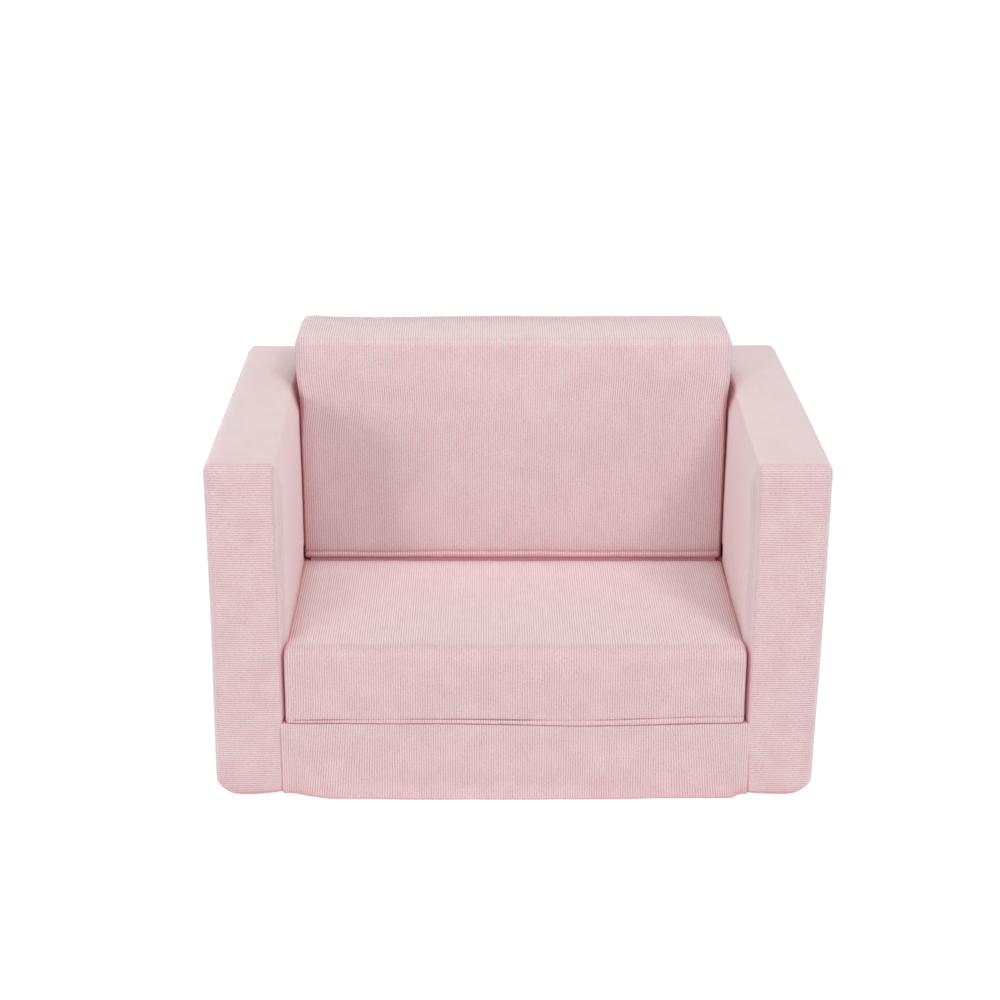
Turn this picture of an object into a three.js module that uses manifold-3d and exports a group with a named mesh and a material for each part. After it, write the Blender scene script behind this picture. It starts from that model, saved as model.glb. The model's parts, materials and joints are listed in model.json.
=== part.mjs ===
// Children's flip-open sofa: two foam arms, a base, a ledge and a back wall form the frame.
// The seat cushion is hinged to the front edge of the base by a fabric web, and the back cushion
// is hinged to the seat's rear top edge in the same way. Flipped forward, the seat and the back
// cushion lie flat in line with the base and make a mattress.
//
// Millimetres, +Z up, +X to the sitter's left, and the front faces -Y. The origin is on the floor,
// under the middle of the sofa.

import * as THREE from "three";
import { mergeVertices } from "three/addons/utils/BufferGeometryUtils.js";
import Module from "manifold-3d";

const wasm = await Module();
wasm.setup();

// Driving sizes of the sofa
const seatWidth = 505;
const seatDepth = 258.2;
const baseHeight = 91.6;
const armThickness = 70;
const armHeight = 393.5;
const backCushionThickness = 100;
const backCushionHeight = 272.2;
const backWallThickness = 92;

// Gaps between the cushions and what stands round them
const sideGap = 7.5;
const hingeGap = 0.8;
const seatRearGap = 1.3;
const ledgeFrontGap = 3;
const ledgeTopGap = 2.4;
const cushionRearGap = 1.9;
const flippedFloorGap = 0.5;
const panelGap = 0.3;

// Fabric, sheet and web
const coverThickness = 1.6;
const foamClearance = 0.3;
const sheetThickness = 1.2;
const sheetArmInset = 15;
const sheetPanelInset = 2;
const sheetCornerRadius = 22;
const webProud = 1.3;
const webHeight = 8;
const webDepth = 4;
const webEndInset = 4;
const webFoldGap = 0.1;
const webEdgeGap = 0.5;

// Rounded edges and how far each padded face swells and its edges draw in
const armInnerRadius = 6;
const armTopRadius = 9;
const armBottomRadius = 18;
const armSwell = 3;
const armTopSwell = 1.2;
const armDraw = 1.2;
const cushionRadius = 8;
const seatSwell = 1.6;
const seatFrontSwell = 0.8;
const backFrontSwell = 1.8;
const backTopSwell = 3;
const sideSwell = 1;
const hiddenSwell = 0.3;
const cushionDraw = 1.2;
const frameRadius = 7;
const baseFrontSwell = 0.8;
const wallSwell = 1.2;

// Zip fasteners: two tapes with a coil bead each, a slider without a pull, and two end stops
const zipEndInset = 12.5;
const zipSlit = 1.3;
const tapeWidth = 12;
const tapeThickness = 1;
const beadRadius = 0.9;
const sliderLength = 11;
const sliderNoseLength = 4;
const sliderNoseWidth = 4.4;
const sliderWidth = 8.6;
const sliderPlate = 1;
const sliderNeckWidth = 0.7;
const sliderNeckLength = 4;
const sliderClearance = 0.3;
const sliderProud = 0.9;
const stopLength = 3.5;
const stopWidth = 6;
const stopPlate = 0.7;
const stopEndInset = 2;
const sliderStopGap = 0.5;
const channelDepth = 4;
const channelWidth = 11;
const frameZipHeight = 45;
const seatZipDrop = 32;
const backZipSetback = 66;

// One overrun serves every cut
const overrun = 5;

// Lattice cells of a padded form between its rounded edges, and cells round one edge
const edgeCells = 3;
const liningEdgeCells = 2;
const armCells = [2, 5, 4];
const seatCells = [6, 4, 2];
const backCells = [6, 2, 4];
const slabCells = [4, 3, 2];
const wallCells = [4, 2, 3];
const ledgeCells = [3, 2, 2];
const arcSteps = 8;

// Places that follow from the sizes above
const zipLength = seatWidth - zipEndInset * 2;
const innerHalfWidth = seatWidth / 2 + sideGap;
const outerHalfWidth = innerHalfWidth + armThickness;
const backFrontOffset = seatDepth + seatRearGap;
const wallFrontOffset = backFrontOffset + backCushionThickness + cushionRearGap;
const sofaDepth = wallFrontOffset + backWallThickness;
const frontY = -sofaDepth / 2;
const rearY = sofaDepth / 2;
const seatRearY = frontY + seatDepth;
const backFrontY = frontY + backFrontOffset;
const backRearY = backFrontY + backCushionThickness;
const wallFrontY = frontY + wallFrontOffset;
const ledgeFrontY = seatRearY + ledgeFrontGap;
const panelBottom = sheetThickness + panelGap;
const frontHingeZ = baseHeight + hingeGap / 2;
const seatBottom = baseHeight + hingeGap;
const seatCrest = frontHingeZ * 2 - flippedFloorGap;
const seatTop = seatCrest - seatSwell;
const rearHingeZ = seatTop + seatRearGap - webEdgeGap - webFoldGap;
const rearHingeY = backFrontY - hingeGap;
const frontHingeY = frontY - webProud - webFoldGap;
const backBottom = rearHingeZ + hingeGap;
const backTop = backBottom + backCushionHeight;
const ledgeTop = backBottom - ledgeTopGap;

// Padded blocks: the two corners, the swell and draw-in of each low and high face, the edge radii
// on the low and high x side with the one at the bottom first, and the lattice cells along x, y, z
const rightArm = {
  low: [innerHalfWidth, frontY, panelBottom],
  high: [outerHalfWidth, rearY, armHeight],
  swell: [[armSwell, armSwell], [armTopSwell, armTopSwell], [0, armTopSwell]],
  draw: [[armDraw, armDraw], [armDraw, armDraw], [0, armDraw]],
  radius: [[armInnerRadius, armInnerRadius], [armBottomRadius, armTopRadius]],
  cells: armCells,
};
const base = {
  low: [-innerHalfWidth, frontY, panelBottom],
  high: [innerHalfWidth, wallFrontY - panelGap, baseHeight],
  swell: [[0, 0], [baseFrontSwell, 0], [0, 0]],
  draw: [[0, 0], [0, 0], [0, 0]],
  radius: evenRadius(frameRadius),
  cells: slabCells,
};
const ledge = {
  low: [-innerHalfWidth, ledgeFrontY, baseHeight + panelGap],
  high: [innerHalfWidth, wallFrontY - panelGap, ledgeTop],
  swell: [[0, 0], [hiddenSwell, 0], [0, hiddenSwell]],
  draw: [[0, 0], [0, 0], [0, 0]],
  radius: evenRadius(frameRadius),
  cells: ledgeCells,
};
const backWall = {
  low: [-innerHalfWidth, wallFrontY, panelBottom],
  high: [innerHalfWidth, rearY, armHeight],
  swell: [[0, 0], [hiddenSwell, wallSwell], [0, wallSwell]],
  draw: [[0, 0], [0, 0], [0, 0]],
  radius: evenRadius(frameRadius),
  cells: wallCells,
};
const seat = {
  low: [-seatWidth / 2, frontY, seatBottom],
  high: [seatWidth / 2, seatRearY, seatTop],
  swell: [[sideSwell, sideSwell], [seatFrontSwell, hiddenSwell], [0, seatSwell]],
  draw: [[cushionDraw, cushionDraw], [cushionDraw, cushionDraw], [0, cushionDraw]],
  radius: evenRadius(cushionRadius),
  cells: seatCells,
};
const backCushion = {
  low: [-seatWidth / 2, backFrontY, backBottom],
  high: [seatWidth / 2, backRearY, backTop],
  swell: [[sideSwell, sideSwell], [backFrontSwell, cushionRearGap / 2], [hiddenSwell, backTopSwell]],
  draw: [[cushionDraw, cushionDraw], [cushionDraw, cushionDraw], [0, cushionDraw]],
  radius: evenRadius(cushionRadius),
  cells: backCells,
};

const leftArm = mirrored(rightArm);

// One radius for every edge of a padded block
function evenRadius(radius) {
  return [[radius, radius], [radius, radius]];
}

// The same padded block on the other side of the sofa's middle plane
function mirrored(block) {
  const swapped = (pairs) => [[pairs[0][1], pairs[0][0]], pairs[1], pairs[2]];
  return {
    low: [-block.high[0], block.low[1], block.low[2]],
    high: [-block.low[0], block.high[1], block.high[2]],
    swell: swapped(block.swell),
    draw: swapped(block.draw),
    radius: [block.radius[1], block.radius[0]],
    cells: block.cells,
  };
}

// Turns a closed three.js geometry into a solid
function toSolid(geometry) {
  const bare = geometry.clone();
  for (const name of Object.keys(bare.attributes)) {
    if (name !== "position") bare.deleteAttribute(name);
  }
  const merged = mergeVertices(bare);
  return new wasm.Manifold(
    new wasm.Mesh({
      numProp: 3,
      vertProperties: Float32Array.from(merged.attributes.position.array),
      triVerts: Uint32Array.from(merged.index.array),
    })
  );
}

// Turns a solid back into a three.js geometry
function toGeometry(solid) {
  const mesh = solid.getMesh();
  const geometry = new THREE.BufferGeometry();
  const points = Float32Array.from(mesh.vertProperties);
  geometry.setAttribute("position", new THREE.BufferAttribute(points, mesh.numProp));
  geometry.setIndex(new THREE.BufferAttribute(Uint32Array.from(mesh.triVerts), 1));
  return geometry;
}

// A plain block between two corners
function blockBetween(low, high) {
  const size = high.map((value, axis) => value - low[axis]);
  const middle = high.map((value, axis) => (value + low[axis]) / 2);
  return toSolid(new THREE.BoxGeometry(...size).translate(...middle));
}

// The place of one lattice line: equal angles round the edge, equal steps between the edges
function latticePlace(line, cells, rim, half, radius) {
  const last = cells + 2 * rim;
  const fromEnd = Math.min(line, last - line);
  if (fromEnd < rim) {
    const angle = ((rim - fromEnd) / rim) * (Math.PI / 4);
    return Math.sign(line - last / 2) * (half - radius + radius * Math.tan(angle));
  }
  return (((line - rim) / cells) * 2 - 1) * (half - radius);
}

// The edge radius at a lattice point: it turns from the bottom one to the top one in one cell
function edgeRadius(block, line, rim, inset) {
  const rise = THREE.MathUtils.clamp(line[2] - rim, 0, 1);
  const side = THREE.MathUtils.clamp((line[0] - rim) / block.cells[0], 0, 1);
  const [low, high] = block.radius.map(([bottom, top]) => THREE.MathUtils.lerp(bottom, top, rise));
  return THREE.MathUtils.lerp(low, high, side) - inset;
}

// A point of a rounded block moves out with its face's swell and in with its edge's draw
function swollen(point, half, block) {
  const share = point.map((value, axis) => THREE.MathUtils.clamp(value / half[axis], -1, 1));
  return point.map((value, axis) => {
    const across = share[(axis + 1) % 3] ** 2;
    const along = share[(axis + 2) % 3] ** 2;
    const face = share[axis] < 0 ? 0 : 1;
    const out = block.swell[axis][face] * (1 - across) * (1 - along);
    const drawn = block.draw[axis][face] * (across * (1 - along) + along * (1 - across));
    return value + share[axis] * (out - drawn);
  });
}

// A block with rounded edges, swollen faces and drawn-in edges, shrunk all round by an inset
function paddedForm(block, inset = 0, rim = edgeCells) {
  const lines = block.cells.map((count) => count + 2 * rim);
  const half = block.high.map((value, axis) => (value - block.low[axis]) / 2 - inset);
  const middle = block.high.map((value, axis) => (value + block.low[axis]) / 2);
  const geometry = new THREE.BoxGeometry(...lines, ...lines);
  const points = geometry.attributes.position;
  for (let index = 0; index < points.count; index += 1) {
    const line = lines.map((count, axis) => Math.round(points.getComponent(index, axis) + count / 2));
    const radius = edgeRadius(block, line, rim, inset);
    const flat = line.map((at, axis) => latticePlace(at, block.cells[axis], rim, half[axis], radius));
    const core = flat.map((value, axis) => {
      return THREE.MathUtils.clamp(value, radius - half[axis], half[axis] - radius);
    });
    const outward = new THREE.Vector3(...flat.map((value, axis) => value - core[axis]));
    outward.setLength(radius);
    const round = core.map((value, axis) => value + outward.getComponent(axis));
    points.setXYZ(index, ...swollen(round, half, block).map((value, axis) => value + middle[axis]));
  }
  return toSolid(geometry);
}

// The room inside a cover, and the foam that fills it with a small clearance
function roomInside(block) {
  return paddedForm(block, coverThickness, liningEdgeCells);
}

function foamInside(block) {
  return paddedForm(block, coverThickness + foamClearance, liningEdgeCells);
}

// Both arms, grown by the gap that the panels between them keep
function roomForArms() {
  return paddedForm(rightArm, -panelGap).add(paddedForm(leftArm, -panelGap));
}

// An arm's cover is open underneath, inside its rounded bottom edge
function armCover(block) {
  const low = [block.low[0] + armBottomRadius, block.low[1] + armBottomRadius, block.low[2] - overrun];
  const high = [block.high[0] - armBottomRadius, block.high[1] - armBottomRadius, block.low[2] + overrun];
  return paddedForm(block).subtract(roomInside(block)).subtract(blockBetween(low, high));
}

// The base, the ledge and the back wall end at the arms and at their own undersides, so each is
// shaped longer than it is and then cut off square, with its ends following the arms' swell
function lengthened(block) {
  const reach = frameRadius + coverThickness + overrun;
  return {
    ...block,
    low: [block.low[0] - reach, block.low[1], block.low[2] - reach],
    high: [block.high[0] + reach, block.high[1], block.high[2]],
  };
}

function cutOffSquare(solid, block) {
  const low = [block.low[0] + panelGap, block.low[1] - overrun, block.low[2]];
  const high = [block.high[0] - panelGap, block.high[1] + overrun, block.high[2] + overrun];
  return solid.intersect(blockBetween(low, high)).subtract(roomForArms());
}

function panelCover(block) {
  const whole = lengthened(block);
  return cutOffSquare(paddedForm(whole).subtract(roomInside(whole)), block);
}

function panelFoam(block) {
  return cutOffSquare(foamInside(lengthened(block)), block);
}

// A fabric web's leaf fills the groove along the rounded edge of what it is sewn to
function webLeaf(low, high, carrier) {
  return blockBetween(low, high).subtract(paddedForm(carrier, -panelGap));
}

const webHalfLength = seatWidth / 2 - webEndInset;

function frontBaseLeaf() {
  const low = [-webHalfLength, frontY - webProud, baseHeight - webHeight];
  const high = [webHalfLength, frontY + webDepth, baseHeight - webEdgeGap];
  return webLeaf(low, high, base);
}

function frontSeatLeaf() {
  const low = [-webHalfLength, frontY - webProud, seatBottom + webEdgeGap];
  const high = [webHalfLength, frontY + webDepth, seatBottom + webHeight];
  return webLeaf(low, high, seat);
}

function rearSeatLeaf() {
  const low = [-webHalfLength, seatRearY - webHeight, seatTop - webDepth];
  const high = [webHalfLength, seatRearY - webEdgeGap, rearHingeZ - webFoldGap];
  return webLeaf(low, high, seat);
}

function rearBackLeaf() {
  const low = [-webHalfLength, rearHingeY + webFoldGap, backBottom + webEdgeGap];
  const high = [webHalfLength, backFrontY + webDepth, backBottom + webHeight];
  return webLeaf(low, high, backCushion);
}

// The non-slip sheet closes the underside: it stops short of the arms' rounded bottom edges and
// runs out to the front of the base and the rear of the back wall between them
function undersideSheet() {
  const wingX = outerHalfWidth - sheetArmInset;
  const wingY = sofaDepth / 2 - sheetArmInset;
  const middleX = innerHalfWidth - sheetPanelInset;
  const middleY = sofaDepth / 2 - sheetPanelInset;
  const outline = new THREE.Shape();
  for (const [index, [x, y]] of [[1, 1], [-1, 1], [-1, -1], [1, -1]].entries()) {
    const start = (index * Math.PI) / 2;
    const wing = () => {
      const middle = [x * (wingX - sheetCornerRadius), y * (wingY - sheetCornerRadius)];
      outline.absarc(...middle, sheetCornerRadius, start, start + Math.PI / 2, false);
    };
    const step = [[x * middleX, y * wingY], [x * middleX, y * middleY]];
    if (x * y > 0) wing();
    for (const point of x * y > 0 ? step : step.reverse()) outline.lineTo(...point);
    if (x * y < 0) wing();
  }
  const settings = { depth: sheetThickness, bevelEnabled: false, curveSegments: arcSteps };
  return toSolid(new THREE.ExtrudeGeometry(outline, settings));
}

// Zips are shaped lying along x with y pointing out of the fabric and z across the tapes, and
// their origin on the middle plane of the tapes
const zipInner = zipSlit / 2;
const beadOuter = zipInner + beadRadius * 2;
const tapeOuter = zipInner + tapeWidth;
const sliderHalfThickness = beadRadius + sliderClearance + sliderPlate;
const stopHalfThickness = beadRadius + sliderClearance + stopPlate;
const zipDepth = sliderHalfThickness - sliderProud;
const stopPlace = zipLength / 2 - stopEndInset - stopLength / 2;
const sliderPlace = stopPlace - stopLength / 2 - sliderStopGap - sliderLength / 2;

// An outline in x and z, drawn as x and y, becomes a slab centred on the tapes' middle plane
function slabAcross(outline, thickness) {
  const settings = { depth: thickness, bevelEnabled: false, curveSegments: arcSteps / 2 };
  const geometry = new THREE.ExtrudeGeometry(outline, settings);
  return toSolid(geometry.rotateX(Math.PI / 2).translate(0, thickness / 2, 0));
}

// A tape with its coil bead, as one section drawn in z and y and run along x
function zipTape(side) {
  const centre = zipInner + beadRadius;
  const joint = Math.asin(tapeThickness / 2 / beadRadius);
  const outline = new THREE.Shape();
  outline.moveTo(tapeOuter, -tapeThickness / 2);
  outline.lineTo(tapeOuter, tapeThickness / 2);
  outline.absarc(centre, 0, beadRadius, joint, 2 * Math.PI - joint, false);
  const settings = { depth: zipLength, bevelEnabled: false, curveSegments: arcSteps };
  const geometry = new THREE.ExtrudeGeometry(outline, settings).translate(0, 0, -zipLength / 2);
  return toSolid(geometry.rotateY(side * -Math.PI / 2));
}

// What a slider or a stop leaves free for the beads and the tapes, on both sides of its neck
function zipPassage(length) {
  const reach = length / 2 + overrun;
  const beadHalf = beadRadius + sliderClearance;
  const tapeHalf = tapeThickness / 2 + sliderClearance;
  const passages = [-1, 1].map((side) => {
    const across = [sliderNeckWidth / 2, beadOuter + sliderClearance, tapeOuter].map((z) => z * side);
    const beads = spanBlock([-reach, -beadHalf, across[0]], [reach, beadHalf, across[1]]);
    const tapes = spanBlock([-reach, -tapeHalf, across[0]], [reach, tapeHalf, across[2]]);
    return beads.add(tapes);
  });
  return passages[0].add(passages[1]);
}

// A block between any two opposite corners
function spanBlock(one, other) {
  const low = one.map((value, axis) => Math.min(value, other[axis]));
  const high = one.map((value, axis) => Math.max(value, other[axis]));
  return blockBetween(low, high);
}

// Two shield-shaped plates joined by a neck under the nose, which leads when the zip closes
function zipSlider() {
  const shoulder = sliderLength / 2 - sliderNoseLength;
  const outline = new THREE.Shape();
  outline.moveTo(-sliderLength / 2, -sliderWidth / 2);
  outline.lineTo(shoulder, -sliderWidth / 2);
  outline.quadraticCurveTo(sliderLength / 2, -sliderWidth / 2, sliderLength / 2, -sliderNoseWidth / 2);
  outline.lineTo(sliderLength / 2, sliderNoseWidth / 2);
  outline.quadraticCurveTo(sliderLength / 2, sliderWidth / 2, shoulder, sliderWidth / 2);
  outline.lineTo(-sliderLength / 2, sliderWidth / 2);
  const beadHalf = beadRadius + sliderClearance;
  const behindNeck = blockBetween(
    [-sliderLength / 2 - overrun, -beadHalf, -sliderNeckWidth],
    [sliderLength / 2 - sliderNeckLength, beadHalf, sliderNeckWidth]
  );
  const plates = slabAcross(outline, sliderHalfThickness * 2);
  return plates.subtract(zipPassage(sliderLength)).subtract(behindNeck);
}

// A stop clamps both beads at one end of the zip
function zipStop() {
  const half = [stopLength / 2, stopHalfThickness, stopWidth / 2];
  return blockBetween(half.map((value) => -value), half).subtract(zipPassage(stopLength));
}

// Where a zip lies: the middle of its tapes, and its turn about x from facing the rear
const zipPlaces = {
  frame: { middle: [0, rearY - zipDepth, frameZipHeight], turn: 0 },
  seat: { middle: [0, seatRearY - zipDepth, rearHingeZ - seatZipDrop], turn: 0 },
  back_cushion: { middle: [0, rearHingeY + backZipSetback, backBottom + zipDepth], turn: -Math.PI / 2 },
};

// The slot that a zip needs in its cover, and the hollows that its tapes and slider need in the foam
function zipCut(place, halfWidth, depth) {
  const half = [zipLength / 2 + panelGap, 0, halfWidth];
  const size = [half[0] * 2, depth + zipDepth + overrun, half[2] * 2];
  const cut = new THREE.BoxGeometry(...size).translate(0, size[1] / 2 - depth, 0);
  return toSolid(cut.rotateX(place.turn).translate(...place.middle));
}

function zipSlot(place) {
  return zipCut(place, tapeOuter + panelGap, overrun);
}

function zipHollow(place) {
  const tapeBed = zipCut(place, tapeOuter + panelGap, tapeThickness / 2 + panelGap);
  return tapeBed.add(zipCut(place, channelWidth / 2, channelDepth));
}

// Finishes
const finishes = {
  corduroy: { color: 0xe4c4c8, roughness: 0.95 },
  foam: { color: 0xf0ead6, roughness: 1 },
  web: { color: 0xd9b4ba, roughness: 0.95 },
  sheet: { color: 0xb9b6b4, roughness: 0.9 },
  tape: { color: 0xd8b5bb, roughness: 0.9 },
  slider: { color: 0xcfa9b0, roughness: 0.45 },
};

// Adds one named piece, shaped in the sofa's own axes, to a group that turns about a pivot
function addPiece(group, name, solid, finish) {
  const mesh = new THREE.Mesh(toGeometry(solid), new THREE.MeshStandardMaterial(finishes[finish]));
  mesh.name = name;
  mesh.position.copy(group.userData.pivot).negate();
  group.add(mesh);
}

// A group whose origin is the hinge that it turns about
function pivotGroup(parent, y, z) {
  const group = new THREE.Group();
  group.userData.pivot = new THREE.Vector3(0, y, z);
  group.position.copy(group.userData.pivot);
  if (parent) {
    group.position.sub(parent.userData.pivot);
    parent.add(group);
  }
  return group;
}

// The five pieces of a zip, on a group of their own that carries its place and turn
function addZip(group, name, place) {
  const zip = new THREE.Group();
  zip.position.set(...place.middle).sub(group.userData.pivot);
  zip.rotation.x = place.turn;
  const pieces = [
    ["upper_tape", zipTape(1), "tape", 0],
    ["lower_tape", zipTape(-1), "tape", 0],
    ["slider", zipSlider(), "slider", -sliderPlace],
    ["left_stop", zipStop(), "slider", -stopPlace],
    ["right_stop", zipStop(), "slider", stopPlace],
  ];
  for (const [piece, solid, finish, x] of pieces) {
    const mesh = new THREE.Mesh(toGeometry(solid), new THREE.MeshStandardMaterial(finishes[finish]));
    mesh.name = `${name}_zip_${piece}`;
    mesh.position.x = x;
    if (piece === "slider") mesh.rotation.y = Math.PI;
    zip.add(mesh);
  }
  group.add(zip);
}

// The fixed frame: arms, base, ledge, back wall, sheet and the base's side of the front web
function buildFrame() {
  const frame = pivotGroup(null, 0, 0);
  for (const [side, block] of Object.entries({ left: leftArm, right: rightArm })) {
    addPiece(frame, `${side}_arm_cover`, armCover(block), "corduroy");
    addPiece(frame, `${side}_arm_foam`, foamInside(block), "foam");
  }
  addPiece(frame, "base_cover", panelCover(base), "corduroy");
  addPiece(frame, "base_foam", panelFoam(base), "foam");
  addPiece(frame, "ledge_cover", panelCover(ledge), "corduroy");
  addPiece(frame, "ledge_foam", panelFoam(ledge), "foam");
  const wallCover = panelCover(backWall).subtract(zipSlot(zipPlaces.frame));
  const wallFoam = panelFoam(backWall).subtract(zipHollow(zipPlaces.frame));
  addPiece(frame, "back_wall_cover", wallCover, "corduroy");
  addPiece(frame, "back_wall_foam", wallFoam, "foam");
  addPiece(frame, "underside_sheet", undersideSheet(), "sheet");
  addPiece(frame, "front_hinge_base_leaf", frontBaseLeaf(), "web");
  addZip(frame, "frame", zipPlaces.frame);
  return frame;
}

// A loose cushion: its cover with a zip slot, its foam and its zip
function addCushion(group, name, block) {
  const place = zipPlaces[name];
  const cover = paddedForm(block).subtract(roomInside(block)).subtract(zipSlot(place));
  addPiece(group, `${name}_cover`, cover, "corduroy");
  addPiece(group, `${name}_foam`, foamInside(block).subtract(zipHollow(place)), "foam");
  addZip(group, name, place);
}

const sofa = buildFrame();
const seatGroup = pivotGroup(sofa, frontHingeY, frontHingeZ);
addCushion(seatGroup, "seat", seat);
addPiece(seatGroup, "front_hinge_seat_leaf", frontSeatLeaf(), "web");
addPiece(seatGroup, "rear_hinge_seat_leaf", rearSeatLeaf(), "web");
const backGroup = pivotGroup(seatGroup, rearHingeY, rearHingeZ);
addCushion(backGroup, "back_cushion", backCushion);
addPiece(backGroup, "rear_hinge_back_leaf", rearBackLeaf(), "web");

export default sofa;
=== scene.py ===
"""Kids' flip open sofa: the finish and the soft forms of every piece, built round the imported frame.

The sofa is made of foam blocks in fine-wale corduroy covers: two arms, a base, a ledge and a back
wall that stand still, a seat cushion hinged by a fabric web to the base, and a back cushion hinged
in the same way to the seat. Lengths are metres, +Z is up and the front faces -Y.
"""

import json
import logging
import math
from dataclasses import dataclass
from enum import Enum
from typing import ClassVar

import bpy
import numpy as np
from bpy.types import Material, Mesh, Node, NodeSocket, NodeTree, Object
from mathutils import Matrix, Vector


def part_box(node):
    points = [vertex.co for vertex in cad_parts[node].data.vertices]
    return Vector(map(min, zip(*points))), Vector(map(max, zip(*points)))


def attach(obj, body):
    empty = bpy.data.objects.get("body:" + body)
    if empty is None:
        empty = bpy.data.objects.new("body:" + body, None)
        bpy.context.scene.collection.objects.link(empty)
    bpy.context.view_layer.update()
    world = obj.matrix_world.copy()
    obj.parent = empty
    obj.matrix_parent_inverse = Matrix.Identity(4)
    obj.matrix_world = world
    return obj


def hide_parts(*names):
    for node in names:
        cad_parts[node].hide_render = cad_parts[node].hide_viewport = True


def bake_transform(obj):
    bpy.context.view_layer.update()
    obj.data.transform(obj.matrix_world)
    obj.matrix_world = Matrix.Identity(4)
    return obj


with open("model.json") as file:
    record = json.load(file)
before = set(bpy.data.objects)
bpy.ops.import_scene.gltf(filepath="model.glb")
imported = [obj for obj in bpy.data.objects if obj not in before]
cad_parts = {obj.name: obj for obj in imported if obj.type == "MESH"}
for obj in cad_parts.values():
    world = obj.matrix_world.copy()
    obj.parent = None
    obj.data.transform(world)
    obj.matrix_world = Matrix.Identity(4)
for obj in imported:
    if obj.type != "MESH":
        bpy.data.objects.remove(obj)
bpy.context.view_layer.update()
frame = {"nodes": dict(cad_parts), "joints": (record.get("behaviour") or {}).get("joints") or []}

LOG = logging.getLogger("sofa")
Array = np.ndarray
Grids = tuple[Array, Array]
Box = tuple[Vector, Vector]
Pair = tuple[float, float]
MM = 0.001
WALE_PITCH = 2.68 * MM
SAMPLES_A_WALE = 4
WALE_SHARES = np.array([0.0, 0.8, 1.0, 0.8])
SEAM_ANGLE = math.pi / 4
SAG_DEPTH, SAG_PLACE, SAG_WIDTH = 3.2 * MM, 80 * MM, 120 * MM
SAG_ENDS = (150 * MM, 250 * MM)
COLOURS = {"data_type": "RGBA"}


class Face(Enum):
    """A face of a block's band, in the order in which the band's outline passes them."""

    FRONT = 1
    TOP = 3
    REAR = 5
    BOTTOM = 7


class Wales(Enum):
    """Which way the ridges of the corduroy run on a block's band."""

    ALONG = "round the block, from the front over the top"
    ACROSS = "from the left seam to the right seam"
    NONE = "a plain surface, such as a foam core"


def mm(*values: float) -> tuple[float, ...]:
    """Lengths in millimetres, turned into metres."""
    return tuple(value * MM for value in values)


def linear(colour: str) -> tuple[float, float, float, float]:
    """Turns an sRGB hex value into the linear colour that a shader socket takes.

    Args:
        colour: Six hex digits, with or without a leading #.

    Returns:
        Red, green, blue and an alpha of one.
    """
    digits = colour.lstrip("#")
    channels = [int(digits[i : i + 2], 16) / 255 for i in (0, 2, 4)]
    values = [c / 12.92 if c <= 0.04045 else ((c + 0.055) / 1.055) ** 2.4 for c in channels]
    return (values[0], values[1], values[2], 1.0)


def add_node(tree: NodeTree, kind: str, settings: dict | None = None,
             inputs: dict | None = None) -> Node:
    """Adds one node to a tree, sets it and links it.

    Args:
        tree: The shader or geometry tree.
        kind: The node's type name, which for a shader node may go without its ShaderNode.
        settings: Attribute names and their values.
        inputs: Socket names or numbers, each with a value, the output that feeds it, or the node
            whose first output does.

    Returns:
        The new node.
    """
    node = tree.nodes.new(kind if "Node" in kind else f"ShaderNode{kind}")
    for name, value in (settings or {}).items():
        setattr(node, name, value)
    for key, value in (inputs or {}).items():
        socket = node.inputs[key]
        value = value.outputs[0] if isinstance(value, Node) else value
        if isinstance(value, NodeSocket):
            tree.links.new(value, socket)
        else:
            socket.default_value = value
    return node


def smooth_step(values: Array, low: float, high: float) -> Array:
    """Rises smoothly from 0 at low to 1 at high."""
    t = np.clip((values - low) / (high - low), 0, 1)
    return t * t * (3 - 2 * t)


def groove(distance: Array, width: float) -> Array:
    """A soft notch of depth one at distance zero, about twice width across."""
    return np.exp(-((distance / width) ** 2))


def hermite_weights(knots: Array, samples: Array, period: float | None = None) -> Array:
    """Weights that carry values at knots over to samples by a smooth cubic.

    Args:
        knots: Ascending places of the known values.
        samples: The places wanted, inside the knots.
        period: The length after which the knots repeat, if they go round.

    Returns:
        A matrix of one row for each sample and one column for each knot.
    """
    count = len(knots)
    if period:
        places = np.concatenate([knots[-2:] - period, knots, knots[:3] + period])
        columns = np.concatenate([[count - 2, count - 1], np.arange(count), [0, 1, 2]])
    else:
        places = np.concatenate([[2 * knots[0] - knots[1]], knots, [2 * knots[-1] - knots[-2]]])
        columns = np.concatenate([[0], np.arange(count), [count - 1]])
    low = np.clip(np.searchsorted(places, samples, side="right") - 1, 1, len(places) - 3)
    step = places[low + 1] - places[low]
    t = (samples - places[low]) / step
    near, far = 2 * t**3 - 3 * t**2 + 1, 3 * t**2 - 2 * t**3
    rise = (t**3 - 2 * t**2 + t) * step / (places[low + 1] - places[low - 1])
    fall = (t**3 - t**2) * step / (places[low + 2] - places[low])
    weights = np.zeros((len(samples), count))
    rows = np.arange(len(samples))
    for shift, share in ((-1, -rise), (0, near - fall), (1, far + rise), (2, fall)):
        np.add.at(weights, (rows, columns[low + shift]), share)
    return weights


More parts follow.
